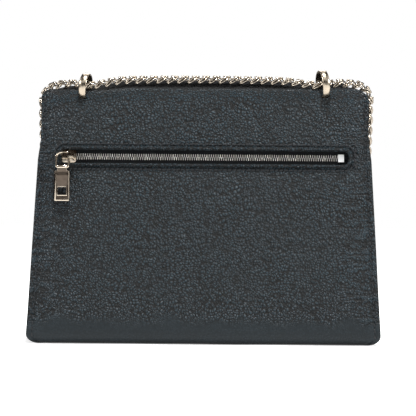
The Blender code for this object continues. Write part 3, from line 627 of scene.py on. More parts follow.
def makeRow(name, lines, tree, sharpAngle=40.0, **settings):
    # lines holds lists of (point, facing); a line whose last point repeats its first is closed
    points, facings, edges = [], [], []
    for line in lines:
        closed = (Vector(line[0][0]) - Vector(line[-1][0])).length < 1e-6
        use = line[:-1] if closed else line
        start = len(points)
        points += [Vector(p) * mm for p, _ in use]
        facings += [tuple(f) for _, f in use]
        edges += [(start + i, start + i + 1) for i in range(len(use) - 1)]
        if closed:
            edges.append((start + len(use) - 1, start))
    mesh = bpy.data.meshes.new(name)
    mesh.from_pydata(points, edges, [])
    attribute = mesh.attributes.new("facing", "FLOAT_VECTOR", "POINT")
    attribute.data.foreach_set("vector", [c for f in facings for c in f])
    obj = newObject(name, mesh)
    step = obj.modifiers.new("row", "NODES")
    step.node_group = tree
    sockets = {item.name: item.identifier for item in tree.interface.items_tree if item.in_out == "INPUT"}
    for socket, value in settings.items():
        step[sockets[socket]] = value
    settle(obj, sharpAngle)
    if not obj.data.polygons:
        raise ValueError(name + " came out empty")
    return obj


# chain strap

chain = {
    "pitch": 6.75,
    "halfLength": 4.2,  # of one wire loop, along its slant
    "halfWidth": 0.9,
    "slants": {1: 34.0, -1: 20.0},  # of the front loop and the rear one
    "drops": {1: 0.2, -1: 0.75},
    "bow": 1.6,
    "lift": 1.4,
    "wire": 0.66,
    "settling": 1.6,  # how far it sinks into the soft left shoulder
    "hug": -0.3,  # how far it lies nearer the right side than its route
    "arch": 1.3,
    "diameter": 5.5,
    "steps": 14,
    "sides": 5,
    "samples": 24,
}
strapRoute = [
    (-68.0, -10.6, 167.0), (-74.5, -11.2, 166.8), (-84.0, -8.2, 168.4), (-91.2, -6.5, 168.1),
    (-97.0, -4.5, 167.4), (-102.2, -1.9, 164.7), (-105.3, -0.2, 159.6), (-106.0, 0.6, 152.0),
    (-105.9, 1.0, 142.0), (-105.4, 1.2, 125.0), (-105.0, 1.4, 98.0), (-105.0, 1.9, 70.0),
    (-105.8, 3.8, 47.0), (-109.0, 9.0, 29.0), (-112.6, 16.5, 14.5),
    (-114.0, 25.5, 6.6), (-114.2, 38.0, 3.2), (-113.6, 53.0, 2.8), (-110.2, 68.0, 2.8),
    (-102.0, 78.0, 2.8), (-89.0, 82.4, 2.8), (-60.0, 83.2, 2.8), (-20.0, 82.2, 2.8),
    (24.0, 83.0, 2.8), (76.0, 82.4, 2.8), (84.8, 78.6, 2.8), (88.2, 71.2, 2.8),
    (84.8, 63.8, 2.8), (76.0, 60.2, 2.8), (26.0, 60.8, 2.8), (-26.0, 59.8, 2.8),
    (-76.0, 60.2, 2.8), (-84.8, 56.4, 2.8), (-88.2, 49.2, 2.8), (-84.8, 41.9, 2.8),
    (-76.0, 38.2, 2.8), (-26.0, 38.6, 2.8), (24.0, 37.6, 2.8), (66.0, 38.4, 2.8),
    (92.0, 38.6, 2.8), (106.0, 35.6, 3.0),
    (113.0, 28.4, 5.0), (113.6, 19.5, 10.5), (110.4, 11.2, 24.0), (106.4, 4.6, 43.0),
    (105.0, 1.9, 70.0), (105.5, 1.4, 98.0), (106.3, 1.2, 125.0), (106.9, 1.0, 142.0),
    (107.0, 0.6, 152.0), (106.3, -0.2, 160.4), (103.0, -2.0, 165.8), (97.4, -4.6, 168.0),
    (91.2, -6.5, 168.4), (84.0, -8.2, 168.4), (74.5, -11.2, 166.8),
    (68.0, -10.6, 167.0), (54.0, -8.6, 168.0), (36.0, -7.2, 168.6), (14.0, -6.5, 168.9),
    (-10.0, -6.4, 168.9), (-34.0, -7.2, 168.6), (-54.0, -8.6, 168.0),
]


def splinePoint(points, i, share):
    # a point of a closed smooth curve through the points, between point i and the next
    a, b, c, d = (points[(i + k) % len(points)] for k in (-1, 0, 1, 2))
    knots = [0.0]
    for p, q in ((a, b), (b, c), (c, d)):
        knots.append(knots[-1] + math.sqrt((q - p).length))
    t = knots[1] + (knots[2] - knots[1]) * share

    def between(p, q, low, high):
        return p * ((high - t) / (high - low)) + q * ((t - low) / (high - low))

    ab, bc, cd = between(a, b, *knots[0:2]), between(b, c, *knots[1:3]), between(c, d, *knots[2:4])
    abc, bcd = between(ab, bc, knots[0], knots[2]), between(bc, cd, knots[1], knots[3])
    return between(abc, bcd, knots[1], knots[2])


def settledPoint(point):
    # the chain arches over the middle, sinks where the left shoulder is softest, and follows the right side
    onTop = smoothStep(point.z, 156.0, 163.0)
    sink = chain["settling"] * onTop * smoothStep(-point.x, 60.0, 82.0)
    hug = chain["hug"] * smoothStep(point.x, 96.0, 104.0) * smoothStep(point.z, 60.0, 100.0)
    arch = chain["arch"] * onTop * (1 - smoothStep(abs(point.x), 50.0, 70.0))
    return point - Vector((hug, 0, sink - arch))


def chainFacing(point, heading):
    # the links' flat side: turned up over the top, outwards down the sides, and up on the floor
    side = 1 if point.x > 0 else -1
    onFloor = 1 - smoothStep(point.z, 5.0, 26.0)
    middle = 1 - smoothStep(abs(point.x), 66.0, 98.0)
    top = Vector((0, -1, 0)).lerp(Vector((0, -0.95, 0.3)), middle)
    base = Vector((side * 0.9, -0.5, 0)).lerp(top, smoothStep(point.z, 150.0, 163.0))
    base = base.lerp(Vector((0, 0, 1)), onFloor)
    return (base - heading * base.dot(heading)).normalized()


def wireLoop(front):
    slant = math.radians(chain["slants"][front])
    line = []
    for c, s in circle(chain["steps"]):
        along, across = chain["halfLength"] * c, chain["halfWidth"] * s
        x = along * math.cos(slant) - across * math.sin(slant)
        y = along * math.sin(slant) + across * math.cos(slant) + chain["drops"][front]
        z = chain["lift"] - chain["bow"] * c ** 2
        line.append(Vector((x, y, z)) if front > 0 else Vector((x + chain["pitch"] / 2, -y, -z)))
    rings = []
    for i, here in enumerate(line):
        forward = (line[(i + 1) % len(line)] - line[i - 1]).normalized()
        out = Vector((0, 0, 1))
        out = (out - forward * out.dot(forward)).normalized()
        beside = forward.cross(out)
        rings.append([here + (out * c + beside * s) * chain["wire"] for c, s in circle(chain["sides"])])
    return sweptRing("wire loop", rings)


def makeChain():
    # one link is two long wire loops that slant like the strands of a rope, the rear one half a pitch on
    route = [Vector(p) for p in strapRoute]
    shares = [k / chain["samples"] for k in range(chain["samples"])]
    line = [splinePoint(route, i, share) for i in range(len(route)) for share in shares]
    line = evenLine([tuple(p) for p in line + line[:1]], 1.0)
    line = [settledPoint(Vector(p)) for p in line]
    length = sum((b - a).length for a, b in zip(line, line[1:]))
    count = round(length / chain["pitch"])
    faced = []
    for i, here in enumerate(line):
        heading = (line[(i + 1) % (len(line) - 1)] - line[i - 1 if i else -2]).normalized()
        faced.append((here, chainFacing(here, heading)))
    shape = merged("link shape", [wireLoop(1), wireLoop(-1)])
    shape.data.shade_smooth()
    strap = makeRow("chainStrap", [faced], bentRowTree, 120.0, Shape=shape, Count=count,
                    Pitch=length / count * mm, Finish=chainNickel)
    bpy.data.objects.remove(shape)
    keep(strap, "root", "chain", "strap_left", "strap_front", "strap_right", "strap_top")
    print(f"chain strap: {count} links, {length:.0f} mm")


makeChain()

# leather body

panel = {
    "edgeSteps": (0.0, 1.0, 1.9, 2.8, 3.7, 4.8, 7.5),
    "spacing": 4.0,
    "seamInset": 3.7,
    "seamDip": 0.7,
    "edgeBevel": 0.55,
}
crown = {
    "inner": (44.0, 76.0),  # distances from the middle over which the crown gives way to the shoulders
    "outer": (94.0, 105.0),
    "outerBehind": (100.0, 107.0),
    "ahead": 0.3,  # lift in front of the chain, in the middle and at the left and right shoulder
    "aheadSides": (-1.2, 0.9),
    "behind": 5.0,  # the same behind it
    "behindSides": (2.4, 3.0),
    "rise": (-7.6, 0.6),
}
zipper = {
    "height": 9.4,
    "half": 92.4,
    "corner": 3.2,
    "level": 119.7,
}
loops = {
    "band": 4.8,
    "thick": 1.9,
    "steps": 72,
    "sides": 16,
    "holeRoom": (0.6, 0.35),
    "setback": 4.3,
    "yaw": 11.0,
    "lean": 7.0,
    -1: {"place": 77.0, "radius": 7.8, "rise": -0.2},
    1: {"place": 75.6, "radius": 8.6, "rise": 2.2},
}
backFace = faceFrame(zipper["level"], backTilt, -1)


def onBack(u, v, n):
    return backFace @ Vector((u, v, n))


def seamAt(z):
    # the stitches keep their line where the edge outside them is drawn in
    return panel["seamInset"] - 0.9 * drawnIn(z)


def seamDip(fromEdge, z):
    return -panel["seamDip"] * math.exp(-((fromEdge - seamAt(z)) / 0.8) ** 2)


def softWave(x, z, seed, size):
    return noise.noise(Vector((x / size, z / size, seed)))


def profileNormals(path):
    result = []
    for i in range(len(path)):
        a, b = Vector(path[max(i - 1, 0)]), Vector(path[min(i + 1, len(path) - 1)])
        along = (b - a).normalized()
        result.append(Vector((-along.y, along.x)))
    return result


def inward(path, depth):
    return [(y - n.x * depth, z - n.y * depth) for (y, z), n in zip(path, profileNormals(path))]


def wallLine(tilt, start, end, spacing, sign=1):
    return evenLine([(sign * wallY(z, tilt), z) for z in (start, end)], spacing)


def panelGrid(path, halves, swell, dip=True):
    # rows follow a side view and columns run across; swell gives how far the skin stands out at a place
    grid, widest = [], max(halves)
    for (y, z), n, half in zip(path, profileNormals(path), halves):
        row = []
        for x in acrossPlaces(widest, panel["edgeSteps"], panel["spacing"]):
            place = x / widest * half
            stand = swell(place, y, z) + (seamDip(half - abs(place), z) if dip else 0.0)
            row.append(Vector((place, y + n.x * stand, z + n.y * stand)))
        grid.append(row)
    return grid


def levelGrid(half, z, rows, spacing):
    return [[Vector((x, y, z)) for x in acrossPlaces(half, panel["edgeSteps"], spacing)] for y in rows]


def crestLift(x, y):
    # the top is crowned: low in front of the resting chain, and full just behind it
    offMiddle = smoothStep(abs(x), *crown["inner"])
    outside = offMiddle * (1 - smoothStep(abs(x), *crown["outer"]))
    outsideBehind = offMiddle * (1 - smoothStep(abs(x), *crown["outerBehind"]))
    ahead = crown["ahead"] * (1 - offMiddle) + crown["aheadSides"][x > 0] * outside
    behind = crown["behind"] * (1 - offMiddle) + crown["behindSides"][x > 0] * outsideBehind
    return ahead + behind * smoothStep(y, *crown["rise"])


fullness = {
    "belly": ((1.5, 30.0, 17.0), (0.9, 58.0, 30.0)),  # rise, height and reach of the swells below the zip
    "bellyEnds": (8.0, 92.0, 26.0),  # heights where they start and end, and how softly they end
    "seamward": 26.0,  # width beside the side seams over which the fullness comes in
    "waves": (0.35, 38.0),  # rise and size of slow waves in the hide
    "calmZip": (86.0, 20.0, 136.0, 146.0),  # where the waves fade out below the zip, and start again above it
    "drawnSides": (-1.3, 15.0),  # how far the seams draw the hide in, and over what width
    "sideEnds": (4.0, 20.0, 163.0, 22.0),
    "puff": (1.3, 88.0, 13.0, 149.0, 8.0),  # rise, place and reach across, and height and reach, below the loops
    "crest": (150.0, 163.5),
}


def backSwell(x, y, z):
    # fullness below the zip, seams that draw the hide in, puffs below the loops, and the crown's lift on top
    edge = smoothStep(sideHalf(z) - abs(x), 0.0, fullness["seamward"])
    start, end, soft = fullness["bellyEnds"]
    belly = sum(rise * math.exp(-((z - at) / reach) ** 2) for rise, at, reach in fullness["belly"]) * edge
    belly *= smoothStep(end - z, 0.0, soft) * smoothStep(z, 0.0, start)
    rise, size = fullness["waves"]
    top, soft, above, full = fullness["calmZip"]
    waves = rise * softWave(x, z, 3.1, size) * edge
    waves *= smoothStep(top - z, 0.0, soft) + smoothStep(z, above, full)
    crest = crestLift(x, y) * smoothStep(z, *fullness["crest"])
    rise, reach = fullness["drawnSides"]
    foot, full, top, soft = fullness["sideEnds"]
    sides = rise * (1 - smoothStep(sideHalf(max(z, 8.0)) - abs(x), 0.0, reach))
    sides *= smoothStep(z, foot, full) * smoothStep(top - z, 0.0, soft)
    rise, out, across, at, reach = fullness["puff"]
    puffed = rise * math.exp(-((abs(x) - out) / across) ** 2 - ((z - at) / reach) ** 2)
    return belly + waves + crest + sides + puffed


def loopRing(name, side, room=(0.0, 0.0)):
    # a polished band with a full, domed face; with room round it, the cutter of its holes
    centreY = -rollCentre(halfBase, backTilt) - bag["rollRadius"] + loops["setback"]
    centre = Vector((side * loops[side]["place"], centreY, bag["height"] + loops[side]["rise"]))
    turn = Matrix.Rotation(math.radians(-side * loops["lean"]), 3, "Y")
    turn @= Matrix.Rotation(math.radians(side * loops["yaw"]), 3, "Z")
    halfBand, halfThick = loops["band"] / 2 + room[0], loops["thick"] / 2 + room[1]
    radius = loops[side]["radius"]
    section = [(across * halfBand, radius + out * halfThick) for across, out in circle(loops["sides"])]
    rings = [[centre + turn @ Vector((across, r * c, r * s)) for across, r in section]
             for c, s in circle(loops["steps"])]
    return sweptRing(name, rings, () if any(room) else (loopNickel,))


def makeBack():
    tilt = math.degrees(backTilt)
    foot = arc((-footY(backTilt), bag["baseRadius"]), bag["baseRadius"], 270, 180 - tilt, 10)
    top = arc((-rollCentre(halfBase, backTilt), rollHeight), bag["rollRadius"], 180 - tilt, 90, 14)
    wall = evenLine([foot[-1], top[0]], 4.0)[1:-1]
    crest = [(1.2 * i, bag["height"]) for i in range(-3, 4)]
    path = foot + wall + top + crest
    grid = panelGrid(path, [sideHalf(z) for _, z in path], backSwell)
    obj = closedSheet("backPanel", grid, bag["leather"], leatherFinishes, flip=True, bevel=panel["edgeBevel"])
    outline = roundedOutline(zipper["half"], zipper["height"] / 2, zipper["corner"])
    window = plateFrom("window cutter", outline, -6.0, 6.0, onBack)
    cutOut(obj, window, *(loopRing("hole cutter", side, loops["holeRoom"]) for side in (-1, 1)))
    keep(obj, ("root", "flap_top", (0, -3.2 * mm, 0.165), (0, 1.6 * mm, 0.165)), "leather", "back_panel")
    return path


def makeFront():
    start = (wallY(bag["frontHeight"], frontTilt), bag["frontHeight"])
    foot = arc((footY(frontTilt), bag["baseRadius"]), bag["baseRadius"], math.degrees(frontTilt), -90, 10)
    path = evenLine([start, foot[0]], 4.5)[:-1] + foot

    def swell(x, y, z):
        return 0.3 * softWave(x, z, 9.4, 40.0) * smoothStep(sideHalf(z) - 3.0 - abs(x), 0.0, 24.0)

    grid = panelGrid(path, [sideHalf(z) - bag["frontSideInset"] for _, z in path], swell)
    obj = closedSheet("frontPanel", grid, bag["leather"], leatherFinishes, flip=True, bevel=panel["edgeBevel"])
    keep(obj, "root", "leather", "front_panel")


def makeBottom():
    low, high = -footY(backTilt) + bag["gap"], footY(frontTilt) - bag["gap"]
    grid = levelGrid(sideHalf(0), 0.0, [low + (high - low) * i / 10 for i in range(11)], 6.0)
    obj = closedSheet("bottomPanel", grid, bag["leather"], leatherFinishes, bevel=0.35)
    keep(obj, "root", "leather", "bottom_panel")


backPath = makeBack()
makeFront()
makeBottom()
print("body panels made")

gusset = {
    "leather": 1.4,
    "flange": 5.0,
    "seam": 2.5,
    "bottom": 3.0,
    "foldTop": 22.0,
    "foldBase": 7.0,
}


def wallDepthY(z, depth, tilt):
    if z >= bag["baseRadius"]:
        return wallY(z, tilt) - depth / math.cos(tilt)
    inner = bag["baseRadius"] - depth
    rise = bag["baseRadius"] - z
    bulge = math.sqrt(max(0.0, inner * inner - rise * rise)) if inner > rise else 0.0
    return footY(tilt) + bulge


def gussetRow(z):
    # a level section from the back seam over the inward fold to the front seam, softened at its bends
    depth = bag["leather"] + bag["gap"] + gusset["leather"]
    half, frontHalf = sideHalf(z), sideHalf(z) - bag["frontSideInset"]
    backY, frontY = -wallDepthY(z, depth, backTilt), wallDepthY(z, depth, frontTilt)
    fold = gusset["foldBase"] + (gusset["foldTop"] - gusset["foldBase"]) * z / bag["frontHeight"]
    key = [(half, backY), (half - gusset["seam"], backY), (half - gusset["flange"], backY), (half - fold, 0.0),
           (frontHalf - gusset["flange"], frontY), (frontHalf - gusset["seam"], frontY), (frontHalf, frontY)]
    row = []
    for k, (a, b) in enumerate(zip(key, key[1:])):
        steps = 7 if k in (2, 3) else 2
        row += [Vector(a).lerp(Vector(b), i / steps) for i in range(steps)]
    row.append(Vector(key[-1]))
    for _ in range(5):
        softened = [row[i].lerp((row[i - 1] + row[i + 1]) / 2, 0.6) for i in range(2, len(row) - 2)]
        row = row[:2] + softened + row[-2:]
    return row


def makeGusset(side, name, node):
    heights = [gusset["bottom"], 5.0, 7.5] + [10.0 + (bag["frontHeight"] - 10.0) * i / 26 for i in range(27)]
    grid = [[Vector((side * p.x, p.y, z)) for p in gussetRow(z)] for z in heights]
    obj = closedSheet(name, grid, -gusset["leather"], leatherFinishes, flip=(side < 0), bevel=0.4)
    keep(obj, "root", "leather", node)


makeGusset(-1, "gussetLeft", "gusset_left")
makeGusset(1, "gussetRight", "gusset_right")
print("gussets made")

# flap

flap = {
    "leather": 1.6,
    "lining": 0.9,
    "play": 2.0,
    "bottom": 52.0,
    "corner": 14.0,
    "liningInset": 4.0,
    "rear": 3.6,  # where the skin starts on the crest, and below it the lining
    "liningRear": -0.6,
    "foldTurns": (66.0, 30.0),  # where on the front roll the fold starts and ends
    "slot": (10.0, 6.0, 2.75),
    "slotHeight": 66.0,
    "seamward": 22.0,
    "fall": (0.5, 105.0, 34.0),  # rise, height and reach of the swell down the front
    "lockRoom": (30.0, 22.0),  # reach across and up of the flat round the lock
    "waves": (0.3, 42.0),
    "crest": (156.0, 164.0),
}
flapStack = flap["play"] + flap["lining"] + bag["gap"] + flap["leather"]
flapBase = halfBase + flapStack / math.cos(frontTilt)
flapRollY = rollCentre(flapBase, frontTilt)
lockFace = faceFrame(flap["slotHeight"], frontTilt, 1)


def flapHalf(z):
    down = clamp((flap["bottom"] + flap["corner"] - z) / flap["corner"])
    return sideHalf(z) - flap["corner"] * roundedOff(down)


def flapPath(rear):
    roll = arc((flapRollY, rollHeight), bag["rollRadius"], 90, math.degrees(frontTilt), 18)
    cornerTop = flap["bottom"] + flap["corner"]
    wall = evenLine([roll[-1], (wallY(cornerTop, frontTilt, flapBase), cornerTop)], 4.5)[1:]
    corner = [flap["bottom"] + flap["corner"] * (1 - math.cos(math.radians(90 - 9 * i))) for i in range(1, 11)]
    return [(rear, bag["height"])] + roll + wall + [(wallY(z, frontTilt, flapBase), z) for z in corner]


def flapSwell(x, y, z):
    # a slight swell down the front, flat round the lock, and the crown's lift over the top
    edge = smoothStep(flapHalf(max(z, 53.0)) - abs(x), 0.0, flap["seamward"])
    rise, at, reach = flap["fall"]
    fall = rise * math.exp(-((z - at) / reach) ** 2) * edge
    width, reach = flap["lockRoom"]
    lockRoom = 1 - math.exp(-(x / width) ** 2 - ((z - flap["slotHeight"]) / reach) ** 2)
    rise, size = flap["waves"]
    waves = rise * softWave(x, z, 17.7, size) * edge * smoothStep(150.0 - z, 0.0, 12.0)
    crest = crestLift(x, y) * smoothStep(13.0 - y, 0.0, 12.0) * smoothStep(z, *flap["crest"])
    return (fall + waves) * lockRoom + crest


def flapSlot(grow):
    halfWidth, halfHeight, corner = flap["slot"]
    outline = roundedOutline(halfWidth + grow, halfHeight + grow, corner)
    return plateFrom("slot cutter", outline, 1.0, 12.0, lambda u, v, n: lockFace @ Vector((u, v, n)))


def makeFlap():
    fold = [arc((flapRollY, rollHeight), bag["rollRadius"], turn, turn, 1)[0] for turn in flap["foldTurns"]]
    bend = ("flap_top", "flap_front", *((0, y * mm, z * mm) for y, z in fold))
    path = flapPath(flap["rear"])
    grid = panelGrid(path, [flapHalf(z) for _, z in path], flapSwell)
    skin = closedSheet("flapLeather", grid, flap["leather"], leatherFinishes, flip=True, bevel=0.5)
    cutOut(skin, flapSlot(0.0))
    path = flapPath(flap["liningRear"])
    grid = panelGrid(inward(path, flap["leather"] + bag["gap"]),
                     [flapHalf(z) - flap["liningInset"] for _, z in path], flapSwell, dip=False)
    lining = closedSheet("flapLining", grid, flap["lining"], (microfibre, microfibre, edgePaint),
                         flip=True, bevel=0.3)
    cutOut(lining, flapSlot(0.3))
    keep(skin, bend, "leather", "flap_top", "flap_front")
    keep(lining, bend, "lining", "flap_top_lining", "flap_front_lining")
    return bend


flapBend = makeFlap()
print("flap made")

# zip, slider and pull

zipSet = {
    "plane": 2.4,
    "toothPitch": 1.43,
    "toothWidth": 0.54,
    "toothHeight": 1.5,
    "firstTooth": -91.2,
    "lastTooth": 84.6,
    "tapeReach": 14.35,
    "tapeThick": 0.6,
    "tapeEnd": 6.0,
    # the section of the lip round the window: places outwards from its edge and up from the leather
    "lip": [(-0.35, -1.9), (-0.42, -0.6), (-0.3, 0.5), (0.05, 1.05), (0.6, 1.3), (1.15, 1.15),
            (1.65, 0.6), (2.0, 0.1), (2.2, -0.3), (1.2, -0.5), (0.3, -1.9)],
    # places across a tape, with the lift of the bead that the teeth grip
    "tape": [(0.9, -0.3), (1.15, -0.1), (1.6, 0.0), (2.05, 0.12), (2.35, 0.12), (2.8, 0.0), (3.8, 0.0),
             (6.0, 0.0), (9.0, 0.0)],
}
facingBack = (onBack(0, 0, 1) - onBack(0, 0, 0)).normalized()


def makeZipFrame():
    # the window's edge, turned over a cord and stitched down: a soft raised lip all round
    outline = roundedOutline(zipper["half"], zipper["height"] / 2, zipper["corner"], steps=10)
    outline = evenLine(outline + outline[:1], 2.0)[:-1]
    obj = sweptRing("zipFrame", wireRing(outline, zipSet["lip"], onBack), (calf,))
    keep(settle(obj, 60.0), "root", "leather", "zip_frame")


def makeTapes():
    end = zipper["half"] + zipSet["tapeEnd"]
    high = -zipSet["plane"] + zipSet["tapeThick"] / 2
    for side, word in ((1, "Upper"), (-1, "Lower")):
        grid = [[onBack(-end + 2 * end * i / 60, side * v, high + lift) for i in range(61)]
                for v, lift in zipSet["tape"] + [(zipSet["tapeReach"], 0.0)]]
        obj = closedSheet("zipTape" + word, grid, zipSet["tapeThick"], (zipTape,), flip=(side > 0), bevel=0.15)
        keep(obj, "root", "tape", "zip_tape_" + word.lower())


def toothShape():
    # a stamped tooth: a clamp on the bead, a narrower neck and a cupped head past the middle
    w, h = zipSet["toothWidth"] / 2, zipSet["toothHeight"] / 2
    side = [(1.0, 1.92), (1.0, 0.95), (0.72, 0.6), (0.95, 0.2), (0.55, -0.12)]
    outline = [(-w * x, y) for x, y in side] + [(w * x, y) for x, y in side[::-1]]
    rings = []
    for level, shrink in ((-h, 0.85), (h * 0.55, 1.0), (h, 0.68)):
        drawn = (1 - shrink) * 0.3  # how far the clamp's and the head's end faces are drawn in
        rings.append([Vector((x * shrink, y - drawn * ((y > 1.9) - (y < 0)), level)) for x, y in outline])
    shape = sweptRing("tooth shape", rings, closed=False)
    shape.data.shade_smooth()
    shape.data.set_sharp_from_angle(angle=math.radians(40))
    return shape


def makeTeeth():
    shape = toothShape()
    for side, word in ((1, "Upper"), (-1, "Lower")):
        shift = zipSet["toothPitch"] / 4 * side
        ends = (zipSet["firstTooth"], zipSet["lastTooth"])[::side]
        line = [(onBack(u + shift, 0, -zipSet["plane"]), facingBack) for u in ends]
        row = makeRow("zipTeeth" + word, [line], rowTree, Shape=shape, Pitch=zipSet["toothPitch"] * mm, Slant=0.0,
                      Finish=teethNickel)
        keep(row, "root", "nickel", "zip_teeth_" + word.lower())
    bpy.data.objects.remove(shape)


makeZipFrame()
makeTapes()
makeTeeth()
print("zip made")

for side, word in ((-1, "left"), (1, "right")):
    band = settle(loopRing("strapLoop" + word.title(), side), 80.0)
    keep(band, "strap_loop_" + word, "nickel", "strap_loop_" + word)

# names, bodies, roundings and rounding steps of the hard solids that are carried over
hardware = {
    "zip_slider": ("zipSlider", "zip_slider", 0.28, 3),
    "zip_bottom_stop": ("zipBottomStop", "root", 0.3, 3),
    "zip_top_stop_upper": ("zipTopStopUpper", "root", 0.2, 2),
    "zip_top_stop_lower": ("zipTopStopLower", "root", 0.2, 2),
    "lock_base": ("lockBase", "root", 0.25, 3),
    "lock_escutcheon": ("lockPlate", "flap_front", 0.3, 3),
    "lock_toggle": ("lockToggle", "lock_toggle", 0.4, 3),
}
for node, (name, body, width, steps) in hardware.items():
    solid = carved(node, name, width, steps)
    solid.data.materials.clear()
    solid.data.materials.append(stopAluminium if "stop" in node else nickel)
    keep(solid, body, "nickel", node)

pull = {
    "axis": (-90.7, -22.279, 112.588),
    "bailHalf": 3.9,
    "bailHeight": 9.4,
    "bailWire": 0.58,
    "bailCorners": (0.9, 1.3, 3.3, 0.9),
    "tabHalf": 4.9,
    "tabTop": -2.3,
    "tabFoot": -21.6,
    "tabCorner": 0.9,
    "thick": 0.9,
    "rim": 1.05,
    "floor": 0.42,
    "slopeFoot": -5.3,
    "slopeTop": (0.3, 1.38),
    "tubeRadius": 1.4,
    "tubeBore": 0.72,
    "tubeHalf": 3.0,
    "tubeSides": 28,
    "window": (2.65, 2.45, -15.25),
    "windowRim": 0.75,
    "above": 3.0,  # how far cutters reach past the plate
}
backTurn = backFace.to_3x3()


def onPull(u, v, n):
    return Vector(pull["axis"]) + backTurn @ Vector((u, v, n))


def makeBail():
    # one bent wire, with a wide bend where it leaves the slider
    half, high = pull["bailHalf"], pull["bailHeight"]
    line = []
    for (sx, sy), turn, radius in zip(((1, 0), (1, 1), (-1, 1), (-1, 0)), (270, 0, 90, 180), pull["bailCorners"]):
        centre = (sx * (half - radius), high - radius if sy else radius)
        line += arc(centre, radius, turn, turn + 90, 6)
    section = [(pull["bailWire"] * c, pull["bailWire"] * s) for c, s in circle(10)]
    obj = sweptRing("pullBail", wireRing(line, section, onPull), (nickel,))
    keep(settle(obj, 70.0), "pull_bail", "nickel", "pull_bail")


def prism(name, section, half):
    # a block whose side view is given as places (up, out)
    return plateFrom(name, section, -half, half, lambda v, n, u: onPull(u, v, n))


def makeTab():
    # a rimmed plate on a tube: a slope runs down from the tube into its sunk, bare face, above a framed window
    rim, floor, above = pull["rim"], pull["floor"], pull["above"]
    top, foot, slopeFoot = pull["tabTop"], pull["tabFoot"], pull["slopeFoot"]
    inside = pull["tabHalf"] - rim
    windowHalf, windowRise, windowAt = pull["window"]
    slopeTop, slopeHigh = pull["slopeTop"]

    def slopeAt(v):
        return floor + (slopeHigh - floor) / (slopeTop - slopeFoot) * (v - slopeFoot)

    def windowPlate(name, grow, corner, steps, low, high):
        outline = roundedOutline(windowHalf + grow, windowRise + grow, corner, steps, (0, windowAt))
        return plateFrom(name, outline, low, high, onPull)

    outline = roundedOutline(pull["tabHalf"], (top - foot) / 2, pull["tabCorner"], 4, (0, (top + foot) / 2))
    plate = plateFrom("tab plate", outline, -pull["thick"], pull["thick"], onPull)
    sunk = prism("sunk face", [(slopeFoot, floor), (slopeFoot, above), (foot + rim, above), (foot + rim, floor)],
                 inside)
    start = slopeFoot + 0.01
    slope = prism("slope", [(start, floor), (0.5, slopeAt(0.5)), (0.5, above), (start, above)], inside)
    cutOut(plate, sunk, slope, windowPlate("window hole", 0.0, 0.3, 2, -above, above))
    settle(bevelled(plate, 0.13, 2, 30.0), 30.0)
    border = windowPlate("window frame", pull["windowRim"], 0.5, 3, 0.1, 0.82)
    cutOut(border, windowPlate("window hole", 0.0, 0.3, 2, -above, above))
    settle(bevelled(border, 0.12, 2, 30.0), 30.0)
    low, neckFoot = top - 0.9, top - 0.3
    shoulder = prism("shoulder", [(low, 0.3), (low, slopeAt(low)), (top, slopeAt(top)), (top, 0.3)], inside - 0.05)
    neck = prism("neck", [(neckFoot, -0.8), (neckFoot, slopeAt(neckFoot)), (-0.1, 1.33), (-0.1, 0.85),
                          (-0.9, 0.0), (-0.9, -0.8)], pull["tubeHalf"])
    ends = [(side * pull["tubeHalf"], r) for side, r in
            ((-1, pull["tubeBore"]), (-1, pull["tubeRadius"]), (1, pull["tubeRadius"]), (1, pull["tubeBore"]))]
    tube = sweptRing("tube", [[onPull(u, r * c, r * s) for u, r in ends] for c, s in circle(pull["tubeSides"])])
    for piece in (shoulder, neck, tube):
        settle(bevelled(piece, 0.1, 2, 50.0), 30.0)
    obj = settle(merged("pullTab", (plate, border, shoulder, neck, tube), (nickel, darkReflectionSatin)), 30.0)
    # the slope and the sunk face are satin, with a painted dark reflection in their colour, and the rims and the
    # tube are polished
    toPull = backTurn.inverted()
    for face in obj.data.polygons:
        u, v, n = toPull @ (face.center / mm - Vector(pull["axis"]))
        outward = (toPull @ face.normal).z
        sunkOrSloping = n < 0.6 or (v > slopeFoot and outward < 0.993)
        face.material_index = int(outward > 0.95 and v < 0.1 and sunkOrSloping)
    keep(obj, "pull_tab", "nickel", "pull_tab")


makeBail()
makeTab()
print("metal parts made")

# linings

inside = {
    "pocketBack": 5.2,  # depths from the back panel's face: the zip pocket's far side
    "liningBack": 5.5,
    "liningFront": 3.0,
    "slipPocket": 6.8,
    "lowest": 9.0,
    "sideInsets": (11.0, 14.0),  # of the linings at the back and the front
    "slipHalf": 70.0,
    "slipHeights": (14.0, 96.0),
    "facingHalf": 87.0,
    "facingEnd": [(-3.97, 158.6), (-1.3, 161.6)],
    "base": (101.5, 4.4, -16.5, 32.6),  # half length, height, rear edge and depth of the base's lining
    "pocketLow": 45.7,
    "pocketHalf": 92.0,
    "pocketFace": 2.1,
    "pocketReach": 14.35,
}


def makeLining(name, line, halves, slot, node, thickness=1.0, finishes=(microfibre,)):
    grid = panelGrid(line, halves, lambda x, y, z: 0.25 * softWave(x, z, len(name), 30.0), dip=False)
    obj = closedSheet(name, grid, thickness, finishes, flip=True, bevel=0.3)
    keep(obj, "root", slot, node)


